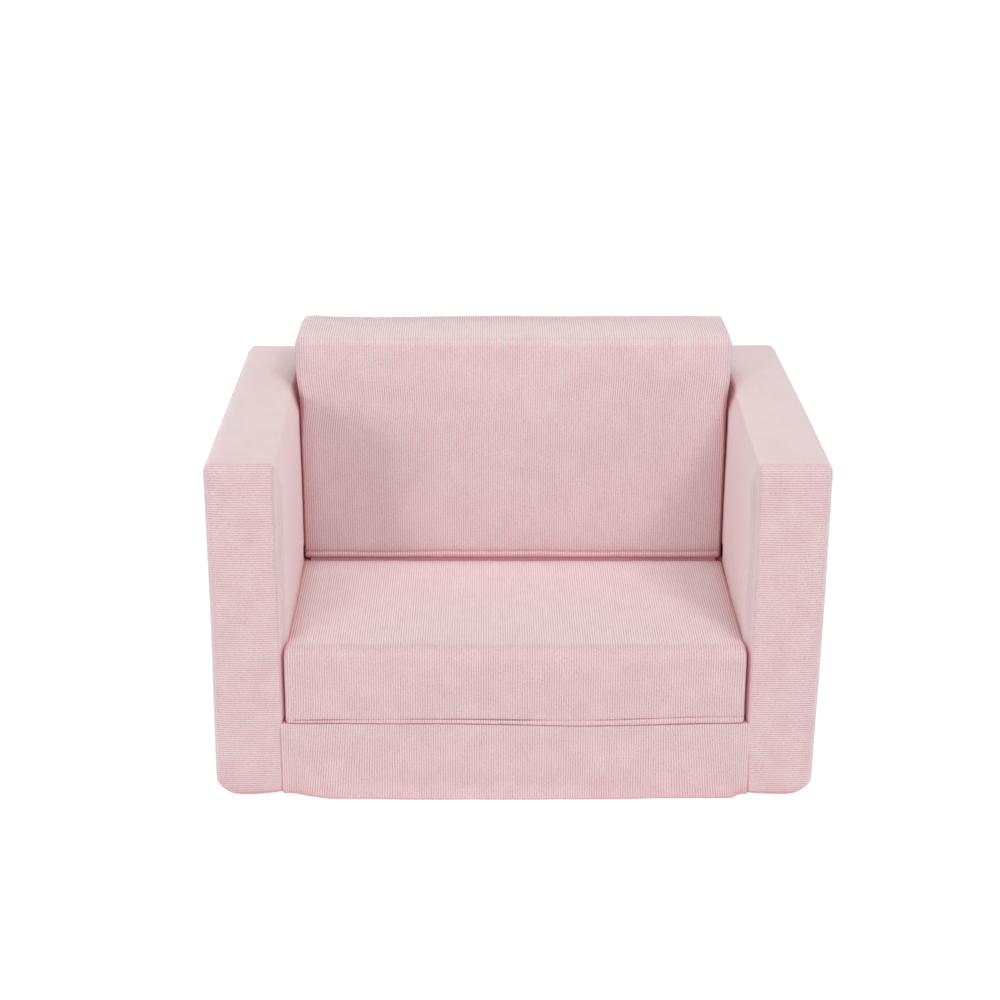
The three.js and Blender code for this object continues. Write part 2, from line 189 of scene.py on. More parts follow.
class Skin:
    """Collects points, faces and their pattern coordinates, and turns them into one mesh."""

    def __init__(self) -> None:
        """Starts with nothing in it."""
        self.points: list[Array] = []
        self.count = 0
        self.faces: list[Array] = []
        self.patterns: list[Array] = []

    def add_points(self, points: Array) -> Array:
        """Adds points of any grid shape and returns their numbers in that shape."""
        numbers = self.count + np.arange(points[..., 0].size).reshape(points.shape[:-1])
        self.points.append(points.reshape(-1, 3))
        self.count += numbers.size
        return numbers

    def add_faces(self, corners: Array, pattern: Array, turned: bool = False) -> None:
        """Adds faces by the numbers of their corners.

        Args:
            corners: One row of point numbers for each face.
            pattern: The pattern coordinate of each of those corners.
            turned: Whether the faces are listed from the inside and have to be turned over.
        """
        order = slice(None, None, -1) if turned else slice(None)
        self.faces.append(corners[:, order])
        self.patterns.append(pattern[:, order])

    @staticmethod
    def cells(grid: Array) -> Array:
        """The values at the four corners of each cell of a grid, going round the cell."""
        return np.stack([grid[:-1, :-1], grid[1:, :-1], grid[1:, 1:], grid[:-1, 1:]], axis=2)

    def add_grid(self, numbers: Array, pattern: Array, turned: bool = False) -> None:
        """Adds the four-sided faces of a grid of points.

        Args:
            numbers: Point numbers, rows by columns.
            pattern: Pattern coordinates in the same grid.
            turned: Whether the grid is seen from the inside.
        """
        corners = self.cells(numbers).reshape(-1, 4)
        self.add_faces(corners, self.cells(pattern).reshape(-1, 4, 2), turned)

    def add_ladder(self, first: tuple, second: tuple, turned: bool = False) -> None:
        """Closes the strip between two closed rings of points that are spaced differently.

        Args:
            first: Point numbers, their places round the ring, and their pattern coordinates.
            second: The same for the other ring.
            turned: Whether the strip is seen from the inside.
        """
        (a, place_a, pattern_a), (b, place_b, pattern_b) = first, second
        closing = float(Outline.STARTS[-1])
        ends = np.concatenate([np.append(place_a[1:], closing), np.append(place_b[1:], closing)])
        order = np.argsort(ends, kind="stable")
        goes_first = order < len(a)
        i = np.cumsum(goes_first) - goes_first
        j = np.cumsum(~goes_first) - ~goes_first
        i_low, i_high, j_low, j_high = i % len(a), (i + 1) % len(a), j % len(b), (j + 1) % len(b)
        third = np.where(goes_first, a[i_high], b[j_high])
        third_pattern = np.where(goes_first[:, None], pattern_a[i_high], pattern_b[j_high])
        corners = np.stack([a[i_low], b[j_low], third], axis=1)
        pattern = np.stack([pattern_a[i_low], pattern_b[j_low], third_pattern], axis=1)
        self.add_faces(corners, pattern, turned)

    def mesh(self, name: str) -> Mesh:
        """Makes the mesh, smooth shaded, with its pattern coordinates in a UV map."""
        mesh = bpy.data.meshes.new(name)
        points = np.concatenate(self.points)
        mesh.vertices.add(len(points))
        mesh.vertices.foreach_set("co", points.astype(np.float32).ravel())
        sizes = np.concatenate([np.full(len(f), f.shape[1]) for f in self.faces])
        corners = np.concatenate([f.ravel() for f in self.faces])
        mesh.loops.add(len(corners))
        mesh.loops.foreach_set("vertex_index", corners.astype(np.int32))
        mesh.polygons.add(len(sizes))
        starts = np.concatenate([[0], np.cumsum(sizes)[:-1]])
        mesh.polygons.foreach_set("loop_start", starts.astype(np.int32))
        mesh.update(calc_edges=True)
        mesh.polygons.foreach_set("use_smooth", np.ones(len(sizes), bool))
        layer = mesh.uv_layers.new(name="UVMap")
        pattern = np.concatenate([p.reshape(-1, 2) for p in self.patterns])
        layer.data.foreach_set("uv", pattern.astype(np.float32).ravel())
        mesh.update()
        return mesh


@dataclass(frozen=True)
class Corners:
    """Radii of a band's four long edges, in the order in which its outline passes them."""

    front_bottom: float
    front_top: float
    rear_top: float
    rear_bottom: float

    def values(self) -> Array:
        """The four radii as an array."""
        return np.array([self.front_bottom, self.front_top, self.rear_top, self.rear_bottom])


class Outline:
    """The closed outline of a block seen from the side, from its front bottom corner up the front.

    A station is a place on it: the number of its stretch, from 0 to 8, and the share along that
    stretch. Even stretches are corner arcs, of which the first and last share one corner, and odd
    ones are the straight faces.
    """

    FROM_CORNER = np.array([0, 0, 1, 1, 2, 2, 3, 3, 0])
    TO_CORNER = np.array([0, 1, 1, 2, 2, 3, 3, 0, 0])
    FROM_ANGLE = np.radians([225, 180, 180, 90, 90, 0, 0, -90, -90])
    TO_ANGLE = np.radians([180, 180, 90, 90, 0, 0, -90, -90, -135])
    STARTS = np.arange(10)
    LEAST_RADIUS = 1.0 * MM
    LEAST_STEP = 0.7 * MM

    def __init__(self, low: Vector, high: Vector, corners: Corners) -> None:
        """Keeps the outline's box and radii.

        Args:
            low: The block's low corner.
            high: The block's high corner.
            corners: The radii of its long edges.
        """
        self.low, self.high = low, high
        self.radii = corners.values()
        self.edge_y = np.array([low.y, low.y, high.y, high.y])
        self.edge_z = np.array([low.z, high.z, high.z, low.z])
        self.side_y = np.array([1, 1, -1, -1])
        self.side_z = np.array([1, -1, -1, 1])

    @staticmethod
    def split(stations: Array) -> Grids:
        """The stretch that each station is on, and its share along that stretch."""
        stretch = np.minimum(stations.astype(int), 8)
        return stretch, stations - stretch

    def angle(self, stations: Array) -> Array:
        """The direction in which the outline faces at each station."""
        stretch, share = self.split(stations)
        return self.FROM_ANGLE[stretch] * (1 - share) + self.TO_ANGLE[stretch] * share

    def normal(self, stations: Array) -> Grids:
        """The outline's outward direction at each station, as y and z."""
        angle = self.angle(stations)
        return np.cos(angle), np.sin(angle)

    def place(self, stations: Array, inset: Array | float = 0.0) -> tuple:
        """Places on the outline drawn in by an inset.

        Args:
            stations: The stations wanted.
            inset: How far the outline is drawn in, the same everywhere or at each place.

        Returns:
            The places' y and z.
        """
        stretch, share = self.split(stations)
        inset = np.asarray(inset) + np.zeros_like(stations)
        ends = []
        for corner in (self.FROM_CORNER[stretch], self.TO_CORNER[stretch]):
            radius = np.maximum(self.radii[corner], inset + self.LEAST_RADIUS)
            y = self.edge_y[corner] + self.side_y[corner] * radius
            z = self.edge_z[corner] + self.side_z[corner] * radius
            ends.append((y, z, radius - inset))
        y, z, radius = (a * (1 - share) + b * share for a, b in zip(*ends))
        angle = self.angle(stations)
        return y + radius * np.cos(angle), z + radius * np.sin(angle)

    def lengths(self, inset: float = 0.0) -> Array:
        """The length of each of the nine stretches, drawn in by an inset."""
        radii = np.maximum(self.radii - inset, self.LEAST_RADIUS)
        full = np.maximum(self.radii, inset + self.LEAST_RADIUS)
        height, depth = self.high.z - self.low.z, self.high.y - self.low.y
        arcs = radii * math.pi / 2
        return np.array([
            arcs[0] / 2, height - full[0] - full[1], arcs[1], depth - full[1] - full[2], arcs[2],
            height - full[2] - full[3], arcs[3], depth - full[3] - full[0], arcs[0] / 2,
        ])

    def station(self, face: Face, place: float) -> float:
        """The station on a face at a height, or on the top or bottom at a depth."""
        stretch = face.value
        ends = self.place(np.array([stretch + 0.0, stretch + 1 - 1e-9]))
        along = ends[1] if face in (Face.FRONT, Face.REAR) else ends[0]
        share = (place - along[0]) / (along[1] - along[0])
        return stretch + float(np.clip(share, 0.001, 0.999))

    def marks(self, lengths: Array | None = None) -> Array:
        """Where each stretch starts and the last one ends, in metres round the outline."""
        return np.append(0, np.cumsum(self.lengths() if lengths is None else lengths))

    def girth(self) -> float:
        """The length of the whole outline."""
        return self.lengths().sum()

    def walked(self, stations: Array) -> Array:
        """How far round the outline each station is, in metres."""
        return np.interp(stations, self.STARTS, self.marks())

    def even(self, count: int) -> Array:
        """That many stations, the same distance apart all the way round."""
        marks = self.marks()
        return np.interp(np.arange(count) / count * marks[-1], marks, self.STARTS)

    def stepped(self, spacings: dict, arc_steps: int, extra: list[float]) -> Array:
        """Stations with a spacing for each face, and more where a detail needs them.

        Args:
            spacings: The step on each face.
            arc_steps: The steps round one corner.
            extra: Further stations.

        Returns:
            The stations in order, none closer than a hair to the next.
        """
        lengths = self.lengths()
        found = []
        for stretch in range(9):
            if stretch % 2:
                steps = max(2, math.ceil(lengths[stretch] / spacings[Face(stretch)]))
            else:
                steps = arc_steps if 0 < stretch < 8 else arc_steps // 2
            found.append(stretch + np.arange(steps) / steps)
        own = np.concatenate(found)
        places = self.walked(own)
        for station in sorted(extra):
            keep = np.abs(places - self.walked(np.array([station]))[0]) > self.LEAST_STEP
            keep |= own == np.floor(own)
            own = np.append(own[keep], station)
            own.sort()
            places = self.walked(own)
        return own


def add_object(name: str, data: bpy.types.ID) -> Object:
    """Puts a new object with that data into the scene."""
    holder = bpy.data.objects.new(name, data)
    bpy.context.scene.collection.objects.link(holder)
    return holder


def applied(holder: Object) -> Mesh:
    """The smooth shaded mesh that an object's modifiers make of it; the object goes."""
    made = holder.evaluated_get(bpy.context.evaluated_depsgraph_get())
    mesh = bpy.data.meshes.new_from_object(made)
    bpy.data.objects.remove(holder)
    mesh.polygons.foreach_set("use_smooth", np.ones(len(mesh.polygons), bool))
    return mesh


CLOTH = {
    "quality": 6, "mass": 0.3, "tension_stiffness": 25, "compression_stiffness": 20,
    "shear_stiffness": 8, "bending_stiffness": 1.0, "vertex_group_mass": "seams",
    "use_pressure": True, "uniform_pressure_force": 4.0,
}
CLOTH_FRAMES = 20


def inflate(mesh: Mesh, pinned: Array) -> Array:
    """Blows a closed cover up a little over its filling, as foam does, by a cloth simulation.

    Args:
        mesh: The closed cover, which is used up.
        pinned: Numbers of the points that the seams hold.

    Returns:
        How far each point has moved.
    """
    scene = bpy.context.scene
    body = add_object("cover_being_filled", mesh)
    group = body.vertex_groups.new(name=CLOTH["vertex_group_mass"])
    group.add([int(i) for i in pinned], 1.0, "REPLACE")
    cloth = body.modifiers.new("cloth", "CLOTH")
    for name, value in CLOTH.items():
        setattr(cloth.settings, name, value)
    cloth.settings.effector_weights.gravity = 0
    cloth.collision_settings.use_collision = False
    cloth.collision_settings.use_self_collision = False
    cloth.point_cache.frame_start = 1
    cloth.point_cache.frame_end = CLOTH_FRAMES
    rest = np.zeros(len(mesh.vertices) * 3, np.float32)
    mesh.vertices.foreach_get("co", rest)
    for step in range(1, CLOTH_FRAMES + 1):
        scene.frame_set(step)
    blown = body.evaluated_get(bpy.context.evaluated_depsgraph_get())
    ended = np.zeros_like(rest)
    blown.data.vertices.foreach_get("co", ended)
    bpy.data.objects.remove(body)
    bpy.data.meshes.remove(mesh)
    scene.frame_set(1)
    return (ended - rest).reshape(-1, 3).astype(float)


class Finish:
    """A finish: each kind gives the nodes that feed its surface, and this makes the material."""

    def surface(self, tree: NodeTree, place: NodeSocket) -> dict:
        """Adds the finish's own nodes to a tree.

        Args:
            tree: The material's tree.
            place: Places in object space, in metres.

        Returns:
            The inputs of the surface shader.
        """
        raise NotImplementedError

    def material(self) -> Material:
        """Builds the material: one surface shader and all that feeds it."""
        material = bpy.data.materials.new(self.name)
        material.use_nodes = True
        tree = material.node_tree
        tree.nodes.clear()
        place = add_node(tree, "TexCoord").outputs["Object"]
        surface = add_node(tree, "BsdfPrincipled", inputs=self.surface(tree, place))
        out = add_node(tree, "OutputMaterial")
        tree.links.new(surface.outputs[0], out.inputs["Surface"])
        return material

    @staticmethod
    def two_tone(tree: NodeTree, pattern: NodeSocket, colours: tuple[str, str],
                 relief: NodeSocket, depth: float, strength: float) -> dict:
        """Mixes two colours by a pattern and raises the surface by a relief.

        Args:
            tree: The material's tree.
            pattern: From 0 for the first colour to 1 for the second.
            colours: The two colours.
            relief: The pattern that stands up.
            depth: How high it stands.
            strength: How much of that the light shows.

        Returns:
            The surface's colour and normal.
        """
        colour = add_node(tree, "Mix", COLOURS, {
            "Factor": pattern, "A": linear(colours[0]), "B": linear(colours[1])})
        bump = add_node(tree, "Bump", inputs={
            "Height": relief, "Distance": depth, "Strength": strength})
        return {"Base Color": colour.outputs["Result"], "Normal": bump}


@dataclass(frozen=True)
class Corduroy(Finish):
    """Fine-wale cotton corduroy, cut and brushed, so ridges of short pile stand over a plain ground.

    The eye sees matt ridges that catch the light softly, a deeper and warmer pink in the grooves,
    and faint clouds where the pile lies another way. Seen at a low angle, only the pale tips show.
    In a crease the pile is pressed flat, and light that has met the cloth again and again turns red.
    In creases and in the gaps between pieces a deep red is painted in as painted shade, standing in for
    light that has met the cloth again and again.
    """

    name: str = "brushed_cotton_corduroy"
    ridge: str = "#DFC9CB"
    ground: str = "#B98E94"
    cloud: str = "#D7BCBF"
    tip: str = "#FFF5F5"
    # Painted shade for creases and gaps: its deep red colour, how much of it is laid in, and how far the
    # occlusion looks for nearby cloth.
    painted_crease_shade: str = "#C8737C"
    sheen_tint: str = "#FEDEDC"
    painted_shade_share: float = 0.85
    painted_shade_reach: float = 30 * MM
    ground_share: float = 0.92
    brushed_share: float = 0.72
    hidden_share: float = 0.25
    fallen_share: float = 0.25
    low_view: float = 0.68
    cloud_share: float = 0.45
    tuft_share: float = 0.28
    cloud_size: float = 38 * MM
    brushed_size: float = 21 * MM
    tuft_length: float = 2.2 * MM
    tufts_a_wale: float = 1.4
    pile_depth: float = 0.22 * MM

    def pile(self, tree: NodeTree, pattern: Node) -> NodeSocket:
        """The noise of the tufts, which are longer along the ridges than across them."""
        across = add_node(tree, "Math", {"operation": "MULTIPLY"},
                          {0: pattern.outputs["X"], 1: self.tufts_a_wale})
        along = add_node(tree, "Math", {"operation": "DIVIDE"},
                         {0: pattern.outputs["Y"], 1: self.tuft_length})
        place = add_node(tree, "CombineXYZ", inputs={0: across, 1: along})
        return add_node(tree, "TexNoise", inputs={
            "Vector": place, "Scale": 1.0, "Detail": 2.0, "Roughness": 0.7}).outputs[0]

    def ridges(self, tree: NodeTree, place: NodeSocket,
               facing: NodeSocket, pile: NodeSocket) -> NodeSocket:
        """The ridges' colour: clouded, and pale where raised tufts are seen at a low angle.

        Args:
            tree: The material's tree.
            place: Places in object space.
            facing: From 0 where the surface is seen straight to 1 where it is seen edge on.
            pile: The noise of the tufts.

        Returns:
            The colour.
        """
        cloud = add_node(tree, "TexNoise", inputs={
            "Vector": place, "Scale": 1 / self.cloud_size, "Detail": 2.0, "Roughness": 0.55})
        lie = add_node(tree, "MapRange", inputs={
            "Value": cloud, "From Min": 0.35, "From Max": 0.65,
            "To Max": self.cloud_share})
        flank = add_node(tree, "Mix", COLOURS, {
            "Factor": lie, "A": linear(self.ridge), "B": linear(self.cloud)})
        raised = add_node(tree, "MapRange", inputs={
            "Value": pile, "From Min": 0.32, "From Max": 0.62, "To Min": self.fallen_share,
            "To Max": 1.0})
        tips = add_node(tree, "MapRange", inputs={
            "Value": facing, "From Min": 0.3, "From Max": self.low_view,
            "To Max": raised})
        return add_node(tree, "Mix", COLOURS, {
            "Factor": tips, "A": flank.outputs["Result"],
            "B": linear(self.tip)}).outputs["Result"]

    def grooves(self, tree: NodeTree, place: NodeSocket,
                pattern: Node, facing: NodeSocket,
                pile: NodeSocket) -> NodeSocket:
        """How much of the ground shows: only in the grooves, and less where pile covers them.

        Args:
            tree: The material's tree.
            place: Places in object space.
            pattern: Wales in X and metres in Y.
            facing: From 0 where the surface is seen straight to 1 where it is seen edge on.
            pile: The noise of the tufts.

        Returns:
            The ground's share, from 0 to 1.
        """
        wale = add_node(tree, "Math", {"operation": "FRACT"}, {0: pattern.outputs["X"]})
        off = add_node(tree, "Math", {"operation": "SUBTRACT"}, {0: wale, 1: 0.5})
        far = add_node(tree, "Math", {"operation": "ABSOLUTE"}, {0: off})
        brushed = add_node(tree, "TexNoise", inputs={
            "Vector": place, "Scale": 1 / self.brushed_size, "Detail": 1.0})
        openness = add_node(tree, "MapRange", inputs={
            "Value": brushed, "From Min": 0.35, "From Max": 0.65,
            "To Min": self.brushed_share * self.ground_share, "To Max": self.ground_share})
        in_sight = add_node(tree, "MapRange", inputs={
            "Value": facing, "From Min": 0.15, "From Max": 0.75, "To Min": 1.0,
            "To Max": self.hidden_share})
        most = add_node(tree, "Math", {"operation": "MULTIPLY"}, {0: openness, 1: in_sight})
        ground = add_node(tree, "MapRange", {"interpolation_type": "SMOOTHSTEP"}, {
            "Value": far, "From Min": 0.2, "From Max": 0.5, "To Max": most})
        worn = add_node(tree, "MapRange", inputs={
            "Value": pile, "From Min": 0.3, "From Max": 0.7, "To Min": -self.tuft_share,
            "To Max": self.tuft_share})
        return add_node(tree, "Math", {"operation": "ADD", "use_clamp": True},
                        {0: ground, 1: worn}).outputs[0]

    def surface(self, tree: NodeTree, place: NodeSocket) -> dict:
        """Reads wales across U and metres along V."""
        uv = add_node(tree, "UVMap", {"uv_map": "UVMap"})
        pattern = add_node(tree, "SeparateXYZ", inputs={0: uv})
        tilt = add_node(tree, "LayerWeight", inputs={"Blend": 0.5})
        facing = tilt.outputs["Facing"]
        pile = self.pile(tree, pattern)
        colour = add_node(tree, "Mix", COLOURS, {
            "Factor": self.grooves(tree, place, pattern, facing, pile),
            "A": self.ridges(tree, place, facing, pile), "B": linear(self.ground)})
        # Painted shade: where ambient occlusion finds cloth close by, in creases and in the gaps between
        # pieces, the colour is darkened towards a deep red.
        occlusion = add_node(tree, "AmbientOcclusion", {"samples": 6}, {"Distance": self.painted_shade_reach})
        painted_shade_amount = add_node(tree, "MapRange", inputs={
            "Value": occlusion.outputs["AO"], "From Min": 0.75, "From Max": 0.2,
            "To Max": self.painted_shade_share})
        with_painted_shade = add_node(tree, "Mix", COLOURS, {
            "Factor": painted_shade_amount, "A": colour.outputs["Result"], "B": linear(self.painted_crease_shade)})
        bump = add_node(tree, "Bump", inputs={
            "Height": pile, "Distance": self.pile_depth, "Strength": 0.6})
        return {"Base Color": with_painted_shade.outputs["Result"], "Normal": bump,
                "Roughness": 0.92, "IOR": 1.5, "Specular IOR Level": 0.1, "Sheen Weight": 1.0,
                "Sheen Roughness": 0.35, "Sheen Tint": linear(self.sheen_tint)}


@dataclass(frozen=True)
class Foam(Finish):
    """Open-cell polyurethane foam, cut with a wire.

    The eye sees a matt cream face, finely pitted by cells that are darker in their middles.
    """

    name: str = "cut_open_cell_foam"
    skin: str = "#EFE9D6"
    cell: str = "#CFC6A8"
    cell_size: float = 1.4 * MM

    def surface(self, tree: NodeTree, place: NodeSocket) -> dict:
        """Sets the cells in object space."""
        cells = add_node(tree, "TexVoronoi", inputs={
            "Vector": place, "Scale": 1 / self.cell_size}).outputs["Distance"]
        return {**self.two_tone(tree, cells, (self.cell, self.skin), cells, 0.5 * MM, 0.7),
                "Roughness": 0.95, "Specular IOR Level": 0.1}


@dataclass(frozen=True)
class Woven(Finish):
    """A woven or knitted polyester: zip tape, hinge twill, grip cloth or thread.

    The eye sees crossing yarns, a little lighter where they rise, with a dry low shine.
    """

    name: str
    high: str
    low: str
    yarn: float
    roughness: float = 0.75
    sheen: float = 0.1
    relief: float = 0.15 * MM

    def surface(self, tree: NodeTree, place: NodeSocket) -> dict:
        """Crosses two bands of waves in object space, each wave two yarns long."""
        cycles = math.tau / (2 * self.yarn) / 20
        bands = [add_node(tree, "TexWave", {
            "wave_type": "BANDS", "bands_direction": direction}, {
            "Vector": place, "Scale": cycles, "Distortion": 0.4, "Detail": 1.0,
            "Detail Scale": 2.0}).outputs["Fac"] for direction in ("X", "DIAGONAL")]
        cross = add_node(tree, "Math", {"operation": "MULTIPLY"},
                         {0: bands[0], 1: bands[1]}).outputs[0]
        return {**self.two_tone(tree, cross, (self.low, self.high), cross, self.relief, 0.6),
                "Roughness": self.roughness, "Sheen Weight": self.sheen,
                "Specular IOR Level": 0.25}


@dataclass(frozen=True)
class Moulded(Finish):
    """A moulded or cast part with a smooth coat: nylon coil, lacquered zinc or PVC grip dots.

    The eye sees an even colour with a faint change of tone, and a soft light on a fine orange peel.
    """

    name: str
    colour: str
    worn: str
    roughness: float
    coat: float = 0.0
    grain: float = 0.6 * MM

    def surface(self, tree: NodeTree, place: NodeSocket) -> dict:
        """Sets a slow noise for the tone and a fine one for the peel."""
        tone = add_node(tree, "TexNoise", inputs={
            "Vector": place, "Scale": 1 / (6 * self.grain), "Detail": 3.0}).outputs[0]
        peel = add_node(tree, "TexNoise", inputs={
            "Vector": place, "Scale": 1 / self.grain, "Detail": 2.0}).outputs[0]
        return {**self.two_tone(tree, tone, (self.colour, self.worn), peel, 0.02 * MM, 0.3),
                "Roughness": self.roughness, "Coat Weight": self.coat}


class Finishes:
    """Makes each finish once, when the first piece asks for it."""

    CHOICES = {
        "corduroy": Corduroy(),
        "lengthwise_corduroy": Corduroy(
            "lengthwise_cotton_corduroy", tip="#FFF4F4", hidden_share=0.6, low_view=0.65),
        # Painted light: the back cushion gets a lighter copy of the same corduroy, making up for the
        # shade it stands in between the arms and behind the seat.
        "upright_corduroy": Corduroy(
            "upright_cotton_corduroy", "#E5D1D3", "#C0969C", "#DEC6C9", "#FCF0F1",
            hidden_share=0.6),
        "foam": Foam(),
        "web": Woven("woven_polyester_hinge_web", "#BF8F97", "#A8757E", 0.9 * MM),
        "sheet": Woven("needled_grip_cloth", "#CBC7C4", "#B0ABA8", 1.1 * MM, 0.85),
        "dots": Moulded("soft_pvc_grip_dots", "#9C9896", "#8D8987", 0.5),
        "tape": Woven("woven_polyester_zip_tape", "#E0BCC2", "#CFA3AA", 0.6 * MM),
        "coil": Moulded("nylon_zip_coil", "#DDB5BC", "#D0A5AD", 0.35),
        "slider": Moulded("lacquered_zinc_zip_slider", "#D9B0B7", "#CFA2AA", 0.3, 0.5),
        "thread": Woven("spun_polyester_thread", "#D6AEB3", "#BC9096", 0.3 * MM, 0.6),
    }

    def __init__(self) -> None:
        """Starts with no material made."""
        self.made: dict[str, Material] = {}

    def get(self, key: str) -> Material:
        """The material of that finish."""
        if key not in self.made:
            self.made[key] = self.CHOICES[key].material()
        return self.made[key]


def show(name: str, mesh: Mesh, material: Material, body: str | None = None) -> Object:
    """Puts a finished mesh into the scene as a piece.

    Args:
        name: The piece's name.
        mesh: Its mesh, in place.
        material: Its finish.
        body: The body that carries it, or nothing, which leaves it unattached.

    Returns:
        The piece.
    """
    piece = add_object(name, mesh)
    mesh.name = name
    mesh.materials.clear()
    mesh.materials.append(material)
    if body:
        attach(piece, body)
    LOG.info("%s: %d faces", name, len(mesh.polygons))
    return piece


@dataclass(frozen=True)
class Swells:
    """How far each face of a block stands out in its middle, and how far its corners draw in."""

    front: float = 0.0
    top: float = 0.0
    rear: float = 0.0
    bottom: float = 0.0
    left: float = 0.0
    right: float = 0.0
    draw: float = 1.2 * MM

    def band(self) -> Array:
        """The swells of the band's four faces."""
        return np.array([self.front, self.top, self.rear, self.bottom])

    def side(self, side: int) -> float:
        """The swell of the left side panel, 0, or of the right one, 1."""
        return self.right if side else self.left


@dataclass(frozen=True)
class Edges:
    """Radii of the edges round a block's left and right side, which may differ at the bottom.

    The rise gives the heights above the bottom between which the one radius turns into the other.
    """

    sides: Pair
    bottoms: Pair | None = None
    rise: Pair = (2 * MM, 22 * MM)


@dataclass(frozen=True)
class Weave:
    """How the cover of a block is cut: the run of its ridges and the steps of its fine surface."""

    wales: Wales = Wales.ALONG
    front: float = 8 * MM
    top: float = 8 * MM
    rear: float = 16 * MM
    bottom: float = 30 * MM
    side: float = 12 * MM
    height: float = 0.65 * MM
    seam_depth: float = 0.5 * MM
    gather: float = 1.0

    def spacings(self) -> dict:
        """The step along the band on each face."""
        return dict(zip(Face, (self.front, self.top, self.rear, self.bottom)))


@dataclass(frozen=True)
class Cut:
    """How a block is shaped and covered."""

    corners: Corners
    swells: Swells
    edges: Edges
    weave: Weave = Weave()


class Block:
    """An upholstered block: a band of fabric round its front, top, rear and bottom, and two side
    panels, joined by a seam that runs along the middle of the rounded side edges."""

    SEAM_STEPS = np.array([0.25, 0.9, 1.8, 3.2]) * MM
    COARSE = 17 * MM
    NARROW_ARC = 6 * MM
    FACE_FULLNESS = 2.4
    CREASE_HEIGHT = 0.22 * MM
    CREASE_FADE, PANEL_FADE = mm(20, 25)
    CRUSHED, CRUSHED_WIDTH = 0.75, 2.2 * MM
    SEAM_WIDTH = 1.3 * MM
    SEAM_GAPS = mm(0.4, 0.5)
    FULL_PERCENT = 97
    LEAST_LIFT = 0.1 * MM
    CORE_DEPTH = 3.2 * MM
    CORE_RADIUS = 1.5 * MM
    FRONT_REACH = mm(4, 34)

    def __init__(self, name: str, low: Vector, high: Vector, cut: Cut) -> None:
        """Keeps the block's shape.

        Args:
            name: The piece's name.
            low: The low corner of its unswollen box.
            high: The high corner.
            cut: How it is shaped and covered.
        """
        self.name, self.low, self.high, self.cut = name, low, high, cut
        self.outline = Outline(low, high, cut.corners)
        self.swells, self.weave, self.edges = cut.swells, cut.weave, cut.edges.sides
        self.is_plain = cut.weave.wales is Wales.NONE
        self.crown: dict[str, Array] | None = None
        self.coarse_u = self.plain_steps(self.COARSE, 2)
        self.coarse_stations = self.outline.stepped(dict.fromkeys(Face, self.COARSE), 2, [])

    def arc(self, side: int) -> float:
        """Length of the rounded edge between the seam and the band's flat, on side 0 or 1."""
        return self.edges[side] * SEAM_ANGLE

    def flat(self) -> float:
        """Width of the band between its rounded edges."""
        return self.high.x - self.low.x - self.edges[0] - self.edges[1]

    def width(self) -> float:
        """Width of the band from seam to seam."""
        return self.arc(0) + self.flat() + self.arc(1)

    def plain_steps(self, spacing: float, arc_steps: int) -> Array:
        """Steps across the band, close together in its rounded edges and near the seams."""
        ends = []
        for arc in (self.arc(0), self.arc(1)):
            seam = self.SEAM_STEPS if arc_steps > 2 else self.SEAM_STEPS[:1]
            seam = seam[seam < arc - self.SEAM_GAPS[0]]
            rest = np.linspace(0, arc, arc_steps + 1)[1:-1]
            ends.append(np.concatenate([seam, rest[rest > seam[-1] + self.SEAM_GAPS[1]]]))
        steps = max(3, round(self.flat() / spacing))
        inner = self.arc(0) + np.linspace(0, self.flat(), steps + 1)
        return np.concatenate([ends[0], inner, self.width() - ends[1][::-1]])

    def edge_radius(self, side: int, stations: Array) -> Array:
        """Radius of the rounded side edge at each station."""
        height = self.outline.place(stations)[1] - self.low.z
        rise = smooth_step(height, *self.cut.edges.rise)
        bottoms = self.cut.edges.bottoms or self.edges
        return self.edges[side] * rise + bottoms[side] * (1 - rise)

    def band(self, u: Array, stations: Array) -> Grids:
        """Places and outward directions on the unswollen band.

        Args:
            u: Distances from the left seam.
            stations: Places round the outline.

        Returns:
            Two grids of vectors, u by stations.
        """
        left, right = self.edge_radius(0, stations), self.edge_radius(1, stations)
        share = np.clip((u - self.arc(0)) / self.flat(), 0, 1)[:, None]
        turn_left = np.clip(1 - u / self.arc(0), 0, 1) * SEAM_ANGLE
        turn_right = np.clip((u - self.arc(0) - self.flat()) / self.arc(1), 0, 1) * SEAM_ANGLE
        x = (self.low.x + left) * (1 - share) + (self.high.x - right) * share
        x = x - left * np.sin(turn_left)[:, None] + right * np.sin(turn_right)[:, None]
        inset = left * (1 - np.cos(turn_left))[:, None] + right * (1 - np.cos(turn_right))[:, None]
        y, z = self.outline.place(stations, inset)
        ny, nz = self.outline.normal(stations)
        side = (np.sin(turn_right) - np.sin(turn_left))[:, None] + 0 * stations
        out = (np.cos(turn_left) * np.cos(turn_right))[:, None]
        return np.stack([x, y, z], -1), np.stack([side, out * ny, out * nz], -1)

    def ring(self, side: int, w: Array, stations: Array) -> Grids:
        """Places and outward directions on a side panel's rounded rim.

        Args:
            side: 0 for the left panel, 1 for the right one.
            w: Distances from the seam towards the panel's flat.
            stations: Places round the outline.

        Returns:
            Two grids of vectors, w by stations.
        """
        radius = self.edge_radius(side, stations)[None, :]
        turn = (SEAM_ANGLE * (1 + w / self.arc(side)))[:, None]
        sign = 2 * side - 1
        face = self.high.x if side else self.low.x
        x = face - sign * radius * (1 - np.sin(turn))
        y, z = self.outline.place(stations, radius * (1 - np.cos(turn)))
        ny, nz = self.outline.normal(stations)
        normal = np.stack([sign * np.sin(turn) + 0 * ny, np.cos(turn) * ny, np.cos(turn) * nz], -1)
        return np.stack([x, y, z], -1), normal

